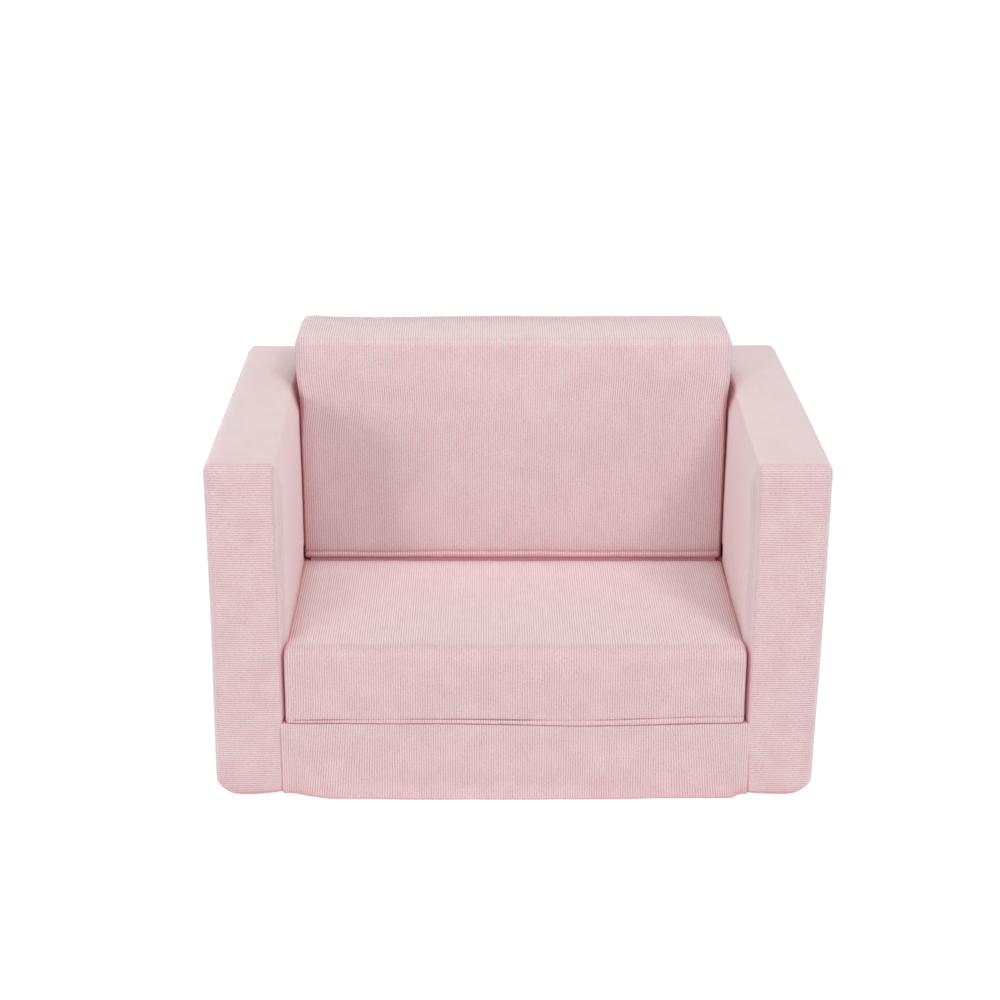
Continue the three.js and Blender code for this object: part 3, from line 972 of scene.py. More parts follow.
    def panel_stations(self, columns: int, spacing: float, arc_steps: int) -> tuple[Array, int]:
        """Stations round a side panel: even ones along its top and bottom, wider ones up its sides.

        Args:
            columns: The steps along the top, and as many along the bottom.
            spacing: The step up the front and rear.
            arc_steps: The steps round half a corner.

        Returns:
            The stations, and the number of steps up the front or down the rear.
        """
        steps = max(3, math.ceil((self.high.z - self.low.z) / spacing))
        climb = (np.arange(steps) / steps) ** self.weave.gather
        descent = 1 - (1 - np.arange(steps) / steps) ** self.weave.gather
        arc = np.arange(arc_steps) / arc_steps
        front = np.concatenate([arc, 1 + climb, 2 + arc / 2])
        rear = np.concatenate([4.5 + arc / 2, 5 + descent, 6 + arc / 2])
        lengths = np.maximum(self.outline.lengths(0.6 * max(self.edges)), 2.0 * MM)
        marks = self.outline.marks(lengths)
        level = []
        for start, end in ((2.5, 4.5), (6.5, 9)):
            ends = np.interp([start, end], self.outline.STARTS, marks)
            walked = ends[0] + (ends[1] - ends[0]) * np.arange(columns) / columns
            level.append(np.interp(walked, marks, self.outline.STARTS))
        return np.concatenate([front, level[0], rear, level[1]]), len(front)

    def pull(self, places: Array) -> Array:
        """How far the cover is pulled along its surface at each place. A block may give its own."""
        return np.zeros(places.shape)

    def relief(self, places: Array, stations: Array) -> Array:
        """Extra height of the band's surface at each place. A block may give its own."""
        return np.zeros(places.shape[:-1])

    def creases(self, places: Array) -> Array:
        """The slight unevenness of fabric over foam: three slow waves that never line up."""
        if self.is_plain:
            return np.zeros(places.shape[:-1])
        x, y, z = (places[..., i] / MM for i in range(3))
        phase = sum(ord(c) for c in self.name) % 7
        wave = np.sin(x / 31 + z / 57 + phase) * np.sin(y / 37 - z / 29 + 1.3 * phase)
        wave += 0.6 * np.sin(x / 17 - y / 23 + z / 19 + 2.1 * phase)
        wave += 0.45 * np.sin((x + 2 * z) / 13 + phase) * np.sin((y - x) / 21)
        return wave * self.CREASE_HEIGHT

    def crown_on_band(self, u: Array, stations: Array) -> Array:
        """How far the filling lifts the band, from the simulation or from a formula."""
        if self.crown is not None:
            across = hermite_weights(self.coarse_u, np.clip(u, self.coarse_u[0], self.coarse_u[-1]))
            knots = self.outline.walked(self.coarse_stations)
            around = hermite_weights(knots, self.outline.walked(stations), self.outline.girth())
            return across @ self.crown["band"] @ around.T
        stretch, share = self.outline.split(stations)
        share = np.where(stretch % 2 == 1, 1 - np.abs(2 * share - 1) ** self.FACE_FULLNESS, 0)
        swell = self.swells.band()[np.clip((stretch - 1) // 2, 0, 3)]
        side = 1 - np.abs(2 * u / self.width() - 1) ** 3
        return side[:, None] * (share * swell)[None, :]

    def crown_on_panel(self, side: int, a: Array, b: Array) -> Array:
        """How far the filling lifts a side panel at shares a of its depth and b of its height."""
        if self.crown is not None:
            return (hermite_weights(self.crown["depth"], a[:, 0]) @ self.crown[f"panel_{side}"]
                    @ hermite_weights(self.crown["height"], b[0]).T)
        full = self.FACE_FULLNESS
        return self.swells.side(side) * (1 - np.abs(2 * a - 1) ** full) * (1 - np.abs(2 * b - 1) ** full)

    def wale_height(self, numbers: Array, from_seam: Array) -> Array:
        """Height of the ridges at numbered samples, crushed flat beside a seam."""
        if self.is_plain:
            return 0 * from_seam
        fade = 1 - self.CRUSHED * groove(from_seam, self.CRUSHED_WIDTH)
        return WALE_SHARES[numbers % SAMPLES_A_WALE] * self.weave.height * fade

    def steps(self, coarse: bool) -> Grids:
        """The band's steps from seam to seam, and its stations."""
        if coarse:
            return self.coarse_u, self.coarse_stations
        if self.weave.wales is Wales.ACROSS:
            wales = round(self.outline.girth() / WALE_PITCH)
            return self.plain_steps(self.weave.side, 4), self.outline.even(wales * SAMPLES_A_WALE)
        spacings = self.weave.spacings()
        if self.is_plain:
            return self.plain_steps(self.weave.side, 3), self.outline.stepped(spacings, 4, [])
        samples = round(self.width() / WALE_PITCH) * SAMPLES_A_WALE
        u = np.linspace(self.SEAM_STEPS[0], self.width() - self.SEAM_STEPS[0], samples + 1)
        return u, self.outline.stepped(spacings, 6, self.extra_stations())

    def lift(self, u: Array, stations: Array, places: Array, across: bool) -> Array:
        """How far the band stands out from its unswollen places.

        Args:
            u: Distances from the left seam.
            stations: Places round the outline.
            places: The unswollen places, u by stations.
            across: Whether the ridges run from side to side.

        Returns:
            The heights, u by stations.
        """
        from_seam = np.minimum(u, self.width() - u)[:, None] + 0 * stations
        height = self.crown_on_band(u, stations)
        if self.is_plain:
            return height
        height += self.creases(places) * np.clip(from_seam / self.CREASE_FADE, 0, 1)
        numbers = np.arange(len(stations))[None, :] if across else np.arange(len(u))[:, None]
        height += self.wale_height(numbers, from_seam)
        height += self.relief(places, stations)
        return height - self.seam_dip(from_seam, stations)

    def build(self, coarse: bool = False) -> tuple[Skin, dict]:
        """Builds the block's surface.

        Args:
            coarse: Whether to build the plain surface that the simulation starts from.

        Returns:
            The surface, and the grids of its points by the names of its parts.
        """
        skin, grids = Skin(), {}
        across = self.weave.wales is Wales.ACROSS and not coarse
        u, stations = self.steps(coarse)
        places, normals = self.band(u, stations)
        height = 0 * places[..., 0] if coarse else self.lift(u, stations, places, across)
        places = places + self.pull(places)
        band = skin.add_points(places + normals * height[..., None])
        walked = np.append(self.outline.walked(stations), self.outline.girth())
        counted = np.arange(len(walked) if across else len(u)) / SAMPLES_A_WALE
        axes = np.meshgrid(*((u, counted) if across else (counted, walked)), indexing="ij")
        pattern = np.stack(axes[::-1] if across else axes, -1)
        skin.add_grid(np.concatenate([band, band[:, :1]], axis=1), pattern)
        grids["band"] = (band, normals)
        for side, edge in ((0, 0), (1, -1)):
            first = (band[edge], stations, pattern[edge, :-1])
            grids[f"panel_{side}"] = self.add_panel(skin, side, first, coarse)
        return skin, grids

    def extra_stations(self) -> list[float]:
        """Stations that a block's own details need."""
        return []

    def seam_dip(self, from_seam: Array, stations: Array) -> Array:
        """How far the fabric is drawn in beside a seam, with small puckers along it."""
        if self.is_plain:
            return 0 * from_seam
        walked = self.outline.walked(stations) / MM
        pucker = 1 + 0.25 * np.sin(walked / 2.3) + 0.2 * np.sin(walked / 5.1 + 1)
        return self.weave.seam_depth * groove(from_seam, self.SEAM_WIDTH) * pucker

    def add_panel(self, skin: Skin, side: int, first: tuple, coarse: bool) -> tuple:
        """Adds a side panel and the seam that joins it to the band.

        Args:
            skin: The surface so far.
            side: 0 for the left panel, 1 for the right one.
            first: The band's edge: point numbers, stations and pattern coordinates.
            coarse: Whether this is the plain surface for the simulation.

        Returns:
            The panel's point numbers, its shares of depth and of height, and its rim's numbers.
        """
        plain = coarse or self.is_plain
        step = self.COARSE if coarse else self.weave.side
        columns = max(3, round((self.high.y - self.low.y) / (step if plain else WALE_PITCH)))
        columns *= 1 if plain else SAMPLES_A_WALE
        stations, rows = self.panel_stations(columns, step, 2 if plain else 4)
        arc = self.arc(side)
        w = np.concatenate([self.SEAM_STEPS, np.linspace(self.SEAM_STEPS[-1], arc, 3)[1:]])
        if arc < self.NARROW_ARC or plain:
            w = np.array([self.SEAM_STEPS[0], 0.45 * arc, arc])
        places, normals = self.ring(side, w, stations)
        places = places + self.pull(places)
        column = np.concatenate([np.zeros(rows, int), np.arange(columns),
                                 np.full(rows, columns), columns - np.arange(columns)])
        height = 0 * places[..., 0]
        if not coarse:
            from_seam = w[:, None] + 0 * stations
            height = self.wale_height(column, from_seam) - self.seam_dip(from_seam, stations)
        rings = skin.add_points(places + normals * height[..., None])
        rise = np.concatenate([np.arange(rows) / rows, np.ones(columns),
                               1 - np.arange(rows) / rows, np.zeros(columns)])
        reach = rise * (self.high.z - self.low.z) - (w[:, None] - arc) * np.sign(rise - 0.5)
        beyond = (arc - w)[:, None] / WALE_PITCH * self.outline.normal(stations)[0]
        pattern = np.stack([column / SAMPLES_A_WALE + beyond, reach], -1)
        skin.add_ladder(first, (rings[0], stations, pattern[0]), turned=side == 0)
        skin.add_grid(np.concatenate([rings, rings[:, :1]], axis=1),
                      np.concatenate([pattern, pattern[:, :1]], axis=1), turned=side == 0)
        return self.add_inside(skin, side, (rings, places[-1]), (rows, columns), coarse)

    def add_inside(self, skin: Skin, side: int, rim: tuple, counts: tuple[int, int],
                   coarse: bool) -> tuple:
        """Adds the inside of a side panel, stretched between the four sides of its rim.

        Args:
            skin: The surface so far.
            side: 0 for the left panel, 1 for the right one.
            rim: Point numbers of the rim's rings, and the places of the innermost one.
            counts: The steps up the front and along the top.
            coarse: Whether this is the plain surface for the simulation.

        Returns:
            The panel's point numbers, its shares of depth and of height, and its rim's numbers.
        """
        rows, columns = counts
        edge, rim_places = (np.concatenate([a, a[:1]]) for a in (rim[0][-1], rim[1]))
        cuts = np.cumsum([0, rows, columns, rows, columns])
        front, top, rear, bottom = (slice(a, b + 1) for a, b in zip(cuts, cuts[1:]))
        corners = rim_places[cuts]
        b = (rim_places[front, 2] - corners[0, 2]) / (corners[1, 2] - corners[0, 2])
        a = (rim_places[top, 1] - corners[1, 1]) / (corners[2, 1] - corners[1, 1])
        a_grid, b_grid = np.meshgrid(a, b, indexing="ij")
        a3, b3 = a_grid[..., None], b_grid[..., None]
        inner = (1 - a3) * rim_places[front] + a3 * rim_places[rear][::-1]
        inner = inner + (1 - b3) * rim_places[bottom][::-1][:, None] + b3 * rim_places[top][:, None]
        inner -= (1 - a3) * (1 - b3) * corners[0] + (1 - a3) * b3 * corners[1]
        inner -= a3 * b3 * corners[2] + a3 * (1 - b3) * corners[3]
        if not coarse:
            far = np.minimum(np.minimum(a_grid, 1 - a_grid), np.minimum(b_grid, 1 - b_grid))
            far = far * (self.high.y - self.low.y)
            lift = self.crown_on_panel(side, a_grid, b_grid)
            lift += self.creases(inner) * np.clip(far / self.PANEL_FADE, 0, 1)
            lift += self.wale_height(np.arange(columns + 1)[:, None], far + self.arc(side))
            inner[..., 0] += (2 * side - 1) * lift
        grid = np.zeros((columns + 1, rows + 1), int)
        grid[1:-1, 1:-1] = skin.add_points(inner[1:-1, 1:-1])
        grid[0, :], grid[:, -1] = edge[front], edge[top]
        grid[-1, :], grid[:, 0] = edge[rear][::-1], edge[bottom][::-1]
        pattern = np.stack([np.arange(columns + 1)[:, None] / SAMPLES_A_WALE + 0 * b_grid,
                            b_grid * (self.high.z - self.low.z)], -1)
        skin.add_grid(grid, pattern, turned=side == 0)
        return grid, a, b, rim[0]

    def fill(self) -> None:
        """Runs the simulation and keeps how far it lifts each face, scaled to the face's swell."""
        skin, grids = self.build(coarse=True)
        band, normals = grids["band"]
        rims = [grids[f"panel_{side}"][3].ravel() for side in (0, 1)]
        moved = inflate(skin.mesh(self.name), np.concatenate([band[0], band[-1], *rims]))
        lift = (moved[band] * normals).sum(-1)
        stretch, _ = self.outline.split(self.coarse_stations)
        scale = np.zeros(len(stretch))
        for face, swell in zip(Face, self.swells.band()):
            here = stretch == face.value
            scale[here] = swell / max(np.percentile(lift[:, here], self.FULL_PERCENT), self.LEAST_LIFT)
        scale[stretch % 2 == 0] = min(scale[stretch % 2 == 1])
        highest = self.swells.band().max()
        self.crown = {"band": np.clip(lift * scale, -self.swells.draw, highest)}
        for side in (0, 1):
            grid, a, b, _ = grids[f"panel_{side}"]
            swell = self.swells.side(side)
            rise = moved[grid][..., 0] * (2 * side - 1)
            full = max(np.percentile(rise, self.FULL_PERCENT), self.LEAST_LIFT)
            rise = np.clip(rise * swell / full, 0, swell)
            rise[0, :] = rise[-1, :] = rise[:, 0] = rise[:, -1] = 0
            self.crown |= {f"panel_{side}": rise, "depth": a, "height": b}

    def mesh(self) -> Mesh:
        """The finished surface."""
        if not self.is_plain:
            self.fill()
        return self.build()[0].mesh(self.name)

    def near_front(self, y: Array) -> Array:
        """One at the front, and nothing a little way behind it."""
        start, end = self.FRONT_REACH
        return 1 - smooth_step(y, self.low.y + start, self.low.y + end)

    def shrunk(self, radii: tuple[float, ...]) -> tuple[float, ...]:
        """The core's radii, from those of the cover."""
        return tuple(max(float(r) - self.CORE_DEPTH, self.CORE_RADIUS) for r in radii)

    def core(self) -> "Block":
        """The foam core inside the cover: the same block, plain and drawn in all round."""
        inset, edges = Vector((self.CORE_DEPTH,) * 3), self.cut.edges
        bottoms = self.shrunk(edges.bottoms or edges.sides)
        cut = Cut(Corners(*self.shrunk(self.outline.radii)), Swells(),
                  Edges(self.shrunk(edges.sides), bottoms, edges.rise),
                  Weave(Wales.NONE, *mm(20, 20, 20, 20, 20)))
        return type(self)(f"{self.name}_core", self.low + inset, self.high - inset, cut)


def inner_box(node: str, swells: Swells) -> Box:
    """The unswollen box of a cover: the node's box less the swell of each of its faces."""
    low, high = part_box(node)
    low += Vector((swells.left, swells.front, swells.bottom))
    high -= Vector((swells.right, swells.rear, swells.top))
    return low, high


def hinge_axis(joint: str) -> Vector:
    """A point on a hinge's axis."""
    return Vector(next(j for j in frame["joints"] if j["name"] == joint)["pos_m"])


@dataclass(frozen=True)
class ArmShape:
    """How one arm's filling has settled: how far its outer side stands out at the foot, at the top's
    front and at the top's rear, how far its rear end and its inner foot stand up, the size of its
    rounded outer bottom edge, and the height from which its inner side leans to the cushions."""

    foot_spread: float
    front_spread: float
    rear_spread: float
    rear_rise: float
    inner_rise: float
    curl_width: float
    curl_height: float
    push_start: float


class ArmBlock(Block):
    """An arm: its band's ridges run from side to side, its outer bottom edge is rounded widely, and
    its inner panel bulges towards the cushions above the base."""

    LEFT = ArmShape(*mm(4.4, 2.0, 1.6, 1.6, 3.6, 29, 19, 80))
    RIGHT = ArmShape(*mm(2.6, 5.0, 1.6, 3.0, 1.6, 31, 19, 15))
    SEAM_PUSH = 3.1 * MM
    PUSH_END = 95 * MM
    PUSH_FADE = mm(-140, 32)
    SIDE_HEIGHTS, SIDE_DEPTHS = mm(10, 240), mm(-100, 210)
    REAR_HEIGHTS, REAR_DEPTHS = mm(200, 380), mm(-120, 190)
    FOOT_HEIGHTS, FOOT_SHARE = mm(0, 30), 0.7
    BULGE = 6.4 * MM
    BULGE_FRONT, BULGE_TOP = mm(0, 20), mm(0, 24)
    SWELL_LEFT = 0.3
    ABOVE_BASE, BEHIND_SEAT = mm(83, 98), mm(24, 33)
    ABOVE_LEDGE, BEHIND_BACK = mm(182, 196), mm(122, 134)
    TOP_SINK = 0.6 * MM
    TOP_FRONT, TOP_TURN = math.radians(135), 0.5

    def is_outer(self, side: int) -> bool:
        """Whether that side of the arm faces away from the cushions."""
        return (self.low.x > 0) == (side == 1)

    def pull(self, places: Array) -> Array:
        """The spread of the outer side, its rounded bottom edge and the rise beside the base."""
        x, y, z = (places[..., i] for i in range(3))
        shape, outer = (self.LEFT, -1) if self.low.x < 0 else (self.RIGHT, 1)
        inner_x = self.high.x if outer < 0 else self.low.x
        share = np.clip((x - inner_x) * outer / (self.high.x - self.low.x), 0, 1.1)
        height = z - self.low.z
        lift = smooth_step(height, *self.SIDE_HEIGHTS)
        back = smooth_step(y, *self.SIDE_DEPTHS)
        top = shape.front_spread * (1 - back) + shape.rear_spread * back
        spread = shape.foot_spread * (1 - lift) + top * lift
        curl = np.clip(1 - height / shape.curl_height, 0, 1)
        spread = spread - shape.curl_width * (1 - np.sqrt(1 - curl**2))
        above_base = smooth_step(z, shape.push_start, self.PUSH_END)
        above_base *= 1 - smooth_step(y, *self.PUSH_FADE)
        shift = np.zeros(places.shape)
        shift[..., 0] = outer * (share * spread - (1 - share) * self.SEAM_PUSH * above_base)
        foot = 1 - smooth_step(height, *self.FOOT_HEIGHTS)
        shift[..., 2] = shape.inner_rise * foot * np.clip(1 - share / self.FOOT_SHARE, 0, 1) ** 2
        rear = smooth_step(y, *self.REAR_DEPTHS) * smooth_step(height, *self.REAR_HEIGHTS)
        shift[..., 2] += shape.rear_rise * rear
        return shift

    def crown_on_panel(self, side: int, a: Array, b: Array) -> Array:
        """The swell of a side panel; the inner one stands out evenly where no slab touches it."""
        swell = super().crown_on_panel(side, a, b)
        if self.is_outer(side):
            return swell
        depth, tall = self.high.y - self.low.y, self.high.z - self.low.z
        y, z = self.low.y + a * depth, self.low.z + b * tall
        bulge = smooth_step(a * depth, *self.BULGE_FRONT)
        bulge *= smooth_step((1 - b) * tall, *self.BULGE_TOP)
        over_base = smooth_step(z, *self.ABOVE_BASE) * (1 - smooth_step(y, *self.BEHIND_SEAT))
        over_ledge = smooth_step(z, *self.ABOVE_LEDGE) * (1 - smooth_step(y, *self.BEHIND_BACK))
        return self.SWELL_LEFT * swell + self.BULGE * bulge * np.maximum(over_base, over_ledge)

    def relief(self, places: Array, stations: Array) -> Array:
        """The top front edge sinks a little in the middle, where the foam is soft."""
        rounded = groove((self.outline.angle(stations) - self.TOP_FRONT)[None, :], self.TOP_TURN)
        middle = 1 - ((places[..., 0] - self.low.x) / (self.high.x - self.low.x) * 2 - 1) ** 2
        return -self.TOP_SINK * rounded * middle


class ZippedBlock(Block):
    """A block with a zip, and perhaps a stitched band along the bottom of its front.

    BAND_ROWS are heights in millimetres of rows across the stitched band. BAND is the depth and the
    width of the groove at the stitches, and the height, the distance below and the width of the
    swell under it.
    """

    OWNER = "frame"
    BAND_ROWS: Array | tuple = ()
    BAND = mm(0, 1, 0, 0, 1)

    def extra_stations(self) -> list[float]:
        """Rows close together across the stitched band, and at the edges of the zip."""
        low = self.outline.low.z
        rows = [self.outline.station(Face.FRONT, low + step * MM) for step in self.BAND_ROWS]
        return rows + Zip(self.OWNER).stations(self.outline)

    def stitch_height(self, x: Array) -> Array:
        """Height of the stitch line on the front. A block with a stitched band gives its own."""
        raise NotImplementedError

    def stitched_band(self, places: Array, stations: Array) -> Array:
        """The groove at the stitches and the swell under it, on the front only."""
        depth, width, swell, below, spread = self.BAND
        front = smooth_step(-np.cos(self.outline.angle(stations)), 0.2, 0.9)[None, :]
        off = places[..., 2] - self.stitch_height(places[..., 0])
        return (swell * groove(off + below, spread) - depth * groove(off, width)) * front

    def relief(self, places: Array, stations: Array) -> Array:
        """The recess for the zip."""
        return Zip(self.OWNER).recess(places, stations, self.outline)


class SeatBlock(ZippedBlock):
    """The seat cushion, whose bottom front edge hangs with the base's edge under it."""

    OWNER = "seat"
    BAND_ROWS = np.arange(2.4, 14, 1.1)
    BAND = mm(1.5, 1.3, 0.5, 3.6, 2.4)
    STITCH_X = np.array([-250, -185, -60, 85, 180, 250]) * MM
    STITCH_RISE = np.array([3.6, 4.5, 5.6, 6.4, 7.9, 7.6]) * MM
    SAG_HEIGHT = 24 * MM
    REAR_RAISE, REAR_PLACE, REAR_WIDTH = mm(0.9, 9, 12)

    def stitch_height(self, x: Array) -> Array:
        """Height of the stitch line on the front, which climbs towards the right."""
        flat = np.clip(np.asarray(x).ravel(), self.STITCH_X[0], self.STITCH_X[-1])
        rise = hermite_weights(self.STITCH_X, flat) @ self.STITCH_RISE
        return hinge_axis("seat_flip").z + rise.reshape(np.shape(x))

    def pull(self, places: Array) -> Array:
        """The sag of the bottom front edge."""
        x, y, z = (places[..., i] for i in range(3))
        near = 1 - smooth_step(z, self.low.z, self.low.z + self.SAG_HEIGHT)
        shift = np.zeros(places.shape)
        shift[..., 2] = -hinge_sag(x) * near * self.near_front(y)
        return shift

    def relief(self, places: Array, stations: Array) -> Array:
        """The stitched band, the raised rear of the top and the recess for the zip."""
        top = (self.outline.split(stations)[0] == Face.TOP.value)[None, :]
        from_rear = self.high.y - places[..., 1]
        rear = self.REAR_RAISE * groove(from_rear - self.REAR_PLACE, self.REAR_WIDTH) * top
        return self.stitched_band(places, stations) + rear + super().relief(places, stations)


class BackBlock(ZippedBlock):
    """The back cushion, which is squeezed a little between the arms and wider above them."""

    OWNER = "back_cushion"
    BAND_ROWS = np.arange(4.0, 14.0, 1.2)
    BAND = mm(0.9, 1.6, 0.4, 4.2, 2.8)
    SQUEEZE = 1.8 * MM
    SPREAD = 1.8 * MM
    ARM_TOP = mm(372, 418)
    EAR_HEIGHT, EAR_PLACE, EAR_WIDTH = mm(1.6, 236, 14)
    FULL_HEIGHT = 1.7 * MM
    FULL_START = mm(-170, -10)
    TOP_REAR, TOP_TURN = math.radians(60), 0.7

    def pull(self, places: Array) -> Array:
        """The squeeze between the arms and the spread above them."""
        x, z = places[..., 0], places[..., 2]
        free = smooth_step(z, *self.ARM_TOP)
        shift = np.zeros(places.shape)
        shift[..., 0] = x / self.high.x * (self.SPREAD * free - self.SQUEEZE * (1 - free))
        return shift

    def stitch_height(self, x: Array) -> Array:
        """Height of the stitch line on the face."""
        wave = 0.5 * np.sin(np.asarray(x) / (47 * MM) + 2) + 0.3 * np.sin(np.asarray(x) / (19 * MM))
        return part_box("rear_hinge_back_leaf")[1].z + (1.0 + wave) * MM

    def relief(self, places: Array, stations: Array) -> Array:
        """The stitched band, the raised corners of the top and the recess for the zip."""
        x = places[..., 0]
        rear_top = groove(self.outline.angle(stations) - self.TOP_REAR, self.TOP_TURN)[None, :]
        ears = groove(np.abs(x) - self.EAR_PLACE, self.EAR_WIDTH)
        full = self.FULL_HEIGHT * smooth_step(x, *self.FULL_START) * (1 - ears)
        raised = rear_top * (self.EAR_HEIGHT * ears + full)
        return self.stitched_band(places, stations) + raised + super().relief(places, stations)


class BaseBlock(Block):
    """The base under the seat: its weave leans outwards near the arms, and its front hangs down to
    the floor in a soft lip, which is rolled up beside the arms."""

    LIP_REACH, LIP_HEIGHT, LIP_DROP = mm(3.4, 18, 0.5)
    LIP_CURVE = 2.2
    SLACK, SLACK_PLACE, SLACK_WIDTH = mm(5.4, -25, 230)
    LEFT_END, RIGHT_END = mm(195, 250), mm(234, 253)
    END_RISE = mm(3.4, 1.8)
    HEM_START, HEM_END = mm(2, 34)
    LEAN = 7.5 * MM
    LEAN_START, LEAN_END = mm(120, 215), mm(225, 258)
    TOP_HEIGHT = 26 * MM

    def pull(self, places: Array) -> Array:
        """The lean of the front's ridges, the sag of the top edge and the lip at the bottom."""
        x, y, z = (places[..., i] for i in range(3))
        shift = np.zeros(places.shape)
        front = self.near_front(y)
        near = smooth_step(np.abs(x), *self.LEAN_START)
        near *= 1 - smooth_step(np.abs(x), *self.LEAN_END)
        down = np.clip((self.high.z - z) / (self.high.z - self.low.z), 0, 1)
        shift[..., 0] = np.sign(x) * self.LEAN * near * down * front
        top = smooth_step(z, self.high.z - self.TOP_HEIGHT, self.high.z)
        shift[..., 2] = -hinge_sag(x) * top * front
        left, right = smooth_step(-x, *self.LEFT_END), smooth_step(x, *self.RIGHT_END)
        flat = 1 - left - right
        reach = self.LIP_REACH + self.SLACK * groove(x - self.SLACK_PLACE, self.SLACK_WIDTH)
        lip = np.clip(1 - (z - self.low.z) / self.LIP_HEIGHT, 0, 1) ** self.LIP_CURVE * front
        hem = 1 - smooth_step(z, self.low.z + self.HEM_START, self.low.z + self.HEM_END)
        shift[..., 1] = -reach * flat * lip
        ends = self.END_RISE[0] * left + self.END_RISE[1] * right
        shift[..., 2] += (ends - self.LIP_DROP * flat) * (hem * front)
        return shift


def hinge_sag(x: Array) -> Array:
    """How far the front hinge line sags below the straight at each place along it."""
    return SAG_DEPTH * groove(x - SAG_PLACE, SAG_WIDTH) * (1 - smooth_step(np.abs(x), *SAG_ENDS))


def polyline(points: Array, name: str) -> Mesh:
    """An open line of points as a mesh, for a node tree to follow."""
    mesh = bpy.data.meshes.new(name)
    mesh.from_pydata([tuple(p) for p in points], [(i, i + 1) for i in range(len(points) - 1)], [])
    return mesh


class RepeatTree:
    """A Geometry Nodes tree that sets one small shape at even steps along a line."""

    def __init__(self, name: str) -> None:
        """Makes the tree with its named inputs."""
        self.tree = bpy.data.node_groups.new(name, "GeometryNodeTree")
        face = self.tree.interface
        face.new_socket("Geometry", in_out="INPUT", socket_type="NodeSocketGeometry")
        self.sizes = {
            key: face.new_socket(key, in_out="INPUT", socket_type="NodeSocketFloat").identifier
            for key in ("Step", "Length", "Thickness", "Height", "Stagger")
        }
        self.sizes["Finish"] = face.new_socket(
            "Finish", in_out="INPUT", socket_type="NodeSocketMaterial").identifier
        face.new_socket("Geometry", in_out="OUTPUT", socket_type="NodeSocketGeometry")
        self.build()

    def build(self) -> None:
        """Adds the nodes: the line in even steps, a rounded bead at each, turned along the line."""
        tree = self.tree
        given = add_node(tree, "NodeGroupInput")
        out = add_node(tree, "NodeGroupOutput")
        line = add_node(tree, "GeometryNodeMeshToCurve", inputs={0: given.outputs["Geometry"]})
        steps = add_node(tree, "GeometryNodeResampleCurve", {"mode": "LENGTH"},
                         {"Curve": line, "Length": given.outputs["Step"]})
        tangent = add_node(tree, "GeometryNodeInputTangent")
        turn = add_node(tree, "FunctionNodeAlignRotationToVector", {"axis": "X"}, {"Vector": tangent})
        bead = add_node(tree, "GeometryNodeMeshUVSphere", inputs={
            "Segments": 6, "Rings": 4, "Radius": 0.5})
        size = add_node(tree, "CombineXYZ", inputs={
            0: given.outputs["Length"], 1: given.outputs["Thickness"], 2: given.outputs["Height"]})
        shaped = add_node(tree, "GeometryNodeTransform", inputs={
            "Geometry": bead.outputs["Mesh"], "Scale": size})
        number = add_node(tree, "GeometryNodeInputIndex")
        odd = add_node(tree, "Math", {"operation": "MODULO"}, {0: number, 1: 2.0})
        swing = add_node(tree, "Math", {"operation": "SUBTRACT"}, {0: odd, 1: 0.5})
        aside = add_node(tree, "Math", {"operation": "MULTIPLY"},
                         {0: swing, 1: given.outputs["Stagger"]})
        shift = add_node(tree, "CombineXYZ", inputs={1: aside})
        moved = add_node(tree, "GeometryNodeInstanceOnPoints", inputs={
            "Points": steps, "Instance": shaped, "Rotation": turn})
        staggered = add_node(tree, "GeometryNodeTranslateInstances", inputs={
            "Instances": moved, "Translation": shift})
        real = add_node(tree, "GeometryNodeRealizeInstances", inputs={0: staggered})
        shaded = add_node(tree, "GeometryNodeSetMaterial", inputs={
            "Geometry": real, "Material": given.outputs["Finish"]})
        tree.links.new(shaded.outputs[0], out.inputs[0])

    def along(self, points: Array, name: str, step: float, size: tuple[float, float, float],
              material: Material, stagger: float = 0.0) -> Mesh:
        """Runs the tree along a line.

        Args:
            points: The line's points.
            name: The new mesh's name.
            step: The distance from one bead to the next.
            size: A bead's length, width and height.
            material: Its finish.
            stagger: How far the beads stand left and right of the line in turn.

        Returns:
            The beads as one plain mesh.
        """
        holder = add_object(name, polyline(points, name))
        modifier = holder.modifiers.new("repeat", "NODES")
        modifier.node_group = self.tree
        values = {"Step": step, "Length": size[0], "Thickness": size[1], "Height": size[2],
                  "Stagger": stagger, "Finish": material}
        for key, value in values.items():
            modifier[self.sizes[key]] = value
        return applied(holder)


def strip_mesh(name: str, section: Array, x_low: float, x_high: float, columns: int) -> Mesh:
    """Sweeps a closed section in y and z along x, with closed ends.

    Args:
        name: The mesh's name.
        section: The section's points, going round so that the strip faces outwards.
        x_low: Where it starts.
        x_high: Where it ends.
        columns: The steps along x.

    Returns:
        The mesh, with metres across x and round the section as pattern coordinates.
    """
    skin = Skin()
    x = np.linspace(x_low, x_high, columns + 1)
    count = len(section)
    places = np.zeros((columns + 1, count, 3))
    places[..., 0] = x[:, None]
    places[..., 1:] = section[None]
    numbers = skin.add_points(places)
    sides = np.linalg.norm(np.diff(section, axis=0, append=section[:1]), axis=1)
    walked = np.append(0, np.cumsum(sides))
    pattern = np.stack(np.meshgrid(x, walked, indexing="ij"), -1)
    skin.add_grid(np.concatenate([numbers, numbers[:, :1]], axis=1), pattern)
    for column, turned in ((0, True), (columns, False)):
        half = count // 2
        for i in range(half - 1):
            quad = np.array([[numbers[column, i], numbers[column, i + 1],
                              numbers[column, count - 2 - i], numbers[column, count - 1 - i]]])
            skin.add_faces(quad, np.zeros((1, 4, 2)), turned)
    return skin.mesh(name)


